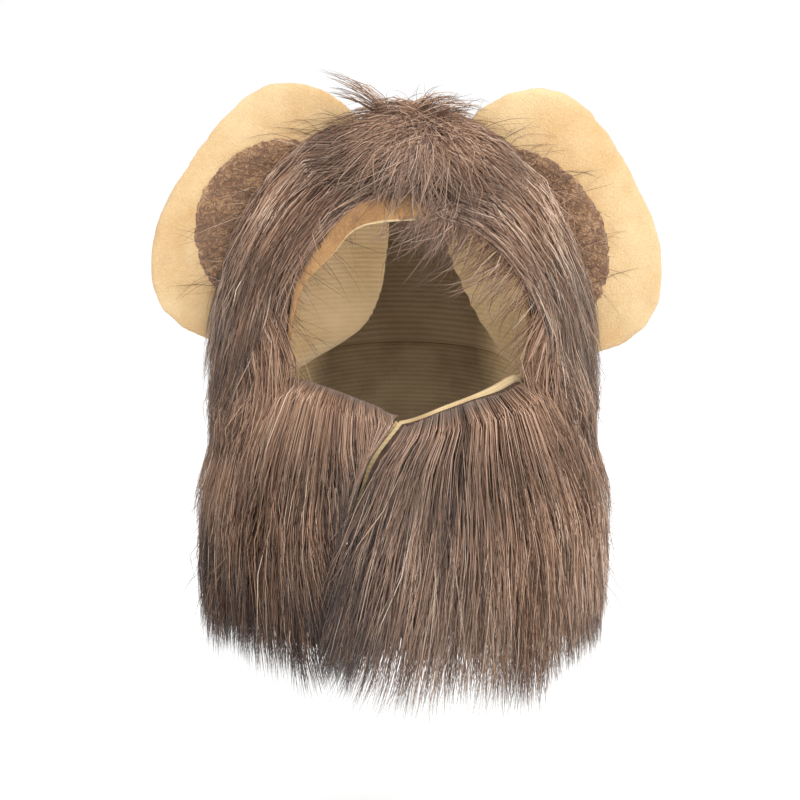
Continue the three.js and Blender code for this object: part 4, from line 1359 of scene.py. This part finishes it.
def curtain(side, low, high, count, across, length):
    """Sparse strands that hang from the fur's edge over the opening."""
    down = draws.uniform(low, high, count)
    start = lane_point(side, draws.uniform(0.0, 0.08, count), down, np.full(count, 0.75))
    t = STRAND_STEPS[None, :, None]
    size = (length * draws.uniform(0.5, 1.2, count))[:, None, None]
    way = np.stack([-side * across * draws.uniform(0.2, 1.3, count), draws.normal(-0.05, 0.15, count),
                    -draws.uniform(0.6, 1.2, count)], axis=1)[:, None]
    way /= np.linalg.norm(way, axis=2, keepdims=True)
    bend = draws.normal(0, 0.12, (count, 1, 3)) * size
    return start[:, None] + way * size * t + bend * t * (1 - t) * 3


crown_lines += [curtain(1, 0.0, 0.2, 240, 0.6, 22), curtain(-1, 0.0, 0.1, 130, 0.4, 16),
                curtain(1, 0.2, 0.85, 170, 0.9, 25), curtain(1, 0.05, 0.5, 130, 2.0, 34),
                curtain(-1, 0.08, 0.6, 120, 0.7, 13), curtain(-1, 0.3, 0.95, 70, 0.9, 12)]
crown_lines = np.concatenate(crown_lines)
count = len(crown_lines)
crown = thread_mesh("pile_crown", settle(crown_lines), STRAND_RADIUS * 0.9 * ragged(count, 0.12),
                    plain_tones(count, 0.52, 0.2), first=0.3)
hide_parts("crown_tuft")

# %% [markdown]
# ### Stray hairs
#
# Fine single hairs that have worked loose. They cross the ears and the opening and blur the outline.

# %% Stray hairs
def stray(start, way, length, sag):
    """Thin free hairs from their starts along their ways, curving and sagging."""
    count = len(start)
    t = STRAND_STEPS[None, :, None]
    way = way + draws.normal(0, 0.35, (count, 3))
    way /= np.linalg.norm(way, axis=1, keepdims=True)
    size = (length * draws.uniform(0.45, 1.3, count))[:, None, None]
    side = np.cross(way, draws.normal(0, 1, (count, 3)))
    side /= np.linalg.norm(side, axis=1, keepdims=True)
    line = start[:, None] + way[:, None] * size * t + side[:, None] * size * 0.35 * (t * t - 0.3 * t)
    line[..., 2] -= sag * size[..., 0] * t[..., 0]**2
    return line


def starts_on_lane(side, count, across, down, layer):
    across, down = draws.uniform(*across, count), draws.uniform(*down, count)
    return lane_point(side, across, down, np.full(count, layer))


strays = []
for side in (-1, 1):
    start = starts_on_lane(side, 90, (0.5, 1.0), (0.05, 0.75), 0.9)
    strays.append(clear_of_ears(stray(start, np.array((side * 1.0, -0.15, 0.25)), 24, 0.3), True))
    start = starts_on_lane(side, 70, (0.0, 0.1), (0.02, 0.95), 0.8)
    strays.append(stray(start, np.array((-side * 1.0, -0.1, -0.5)), 22, 0.3))
    turn = draws.uniform(55, 125, 130) * side % 360
    start = collar_point(turn, draws.uniform(-85, 0, 130), np.full(130, 0.9))
    strays.append(stray(start, np.array((side * 0.35, 0, -1.0)), 24, 0.0))
start = on_pile(CROWN + draws.normal(0, 9, (110, 3)), np.full(110, 0.95))
strays.append(stray(start, np.array((0, -0.2, 0.8)) + draws.normal(0, 0.6, (110, 3)), 16, 0.4))
strays = np.concatenate(strays)
thread_mesh("stray_hairs", settle(strays), 0.1 * MM * ragged(len(strays), 0.15),
            plain_tones(len(strays), 0.3, 0.25), first=0.4)

# %% [markdown]
# ## The whole
#
# The hood is a cut sheet that is draped over the form, with its turned hem, and the band is a strip
# gathered onto the neck. Here a line is laid down the middle of the hood's back, and the triangles
# that the scene adds are counted.

# %% Middle line of the hood, triangle count, end
middle_line = cloth_point(np.full(len(DOWN_LINE), 180.0), DOWN_LINE, 1.0)
added = [o for o in scene.objects if o.type == "MESH" and o.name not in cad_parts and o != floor]
print("visible triangles:", f"{sum(triangles(o) for o in added):,}")
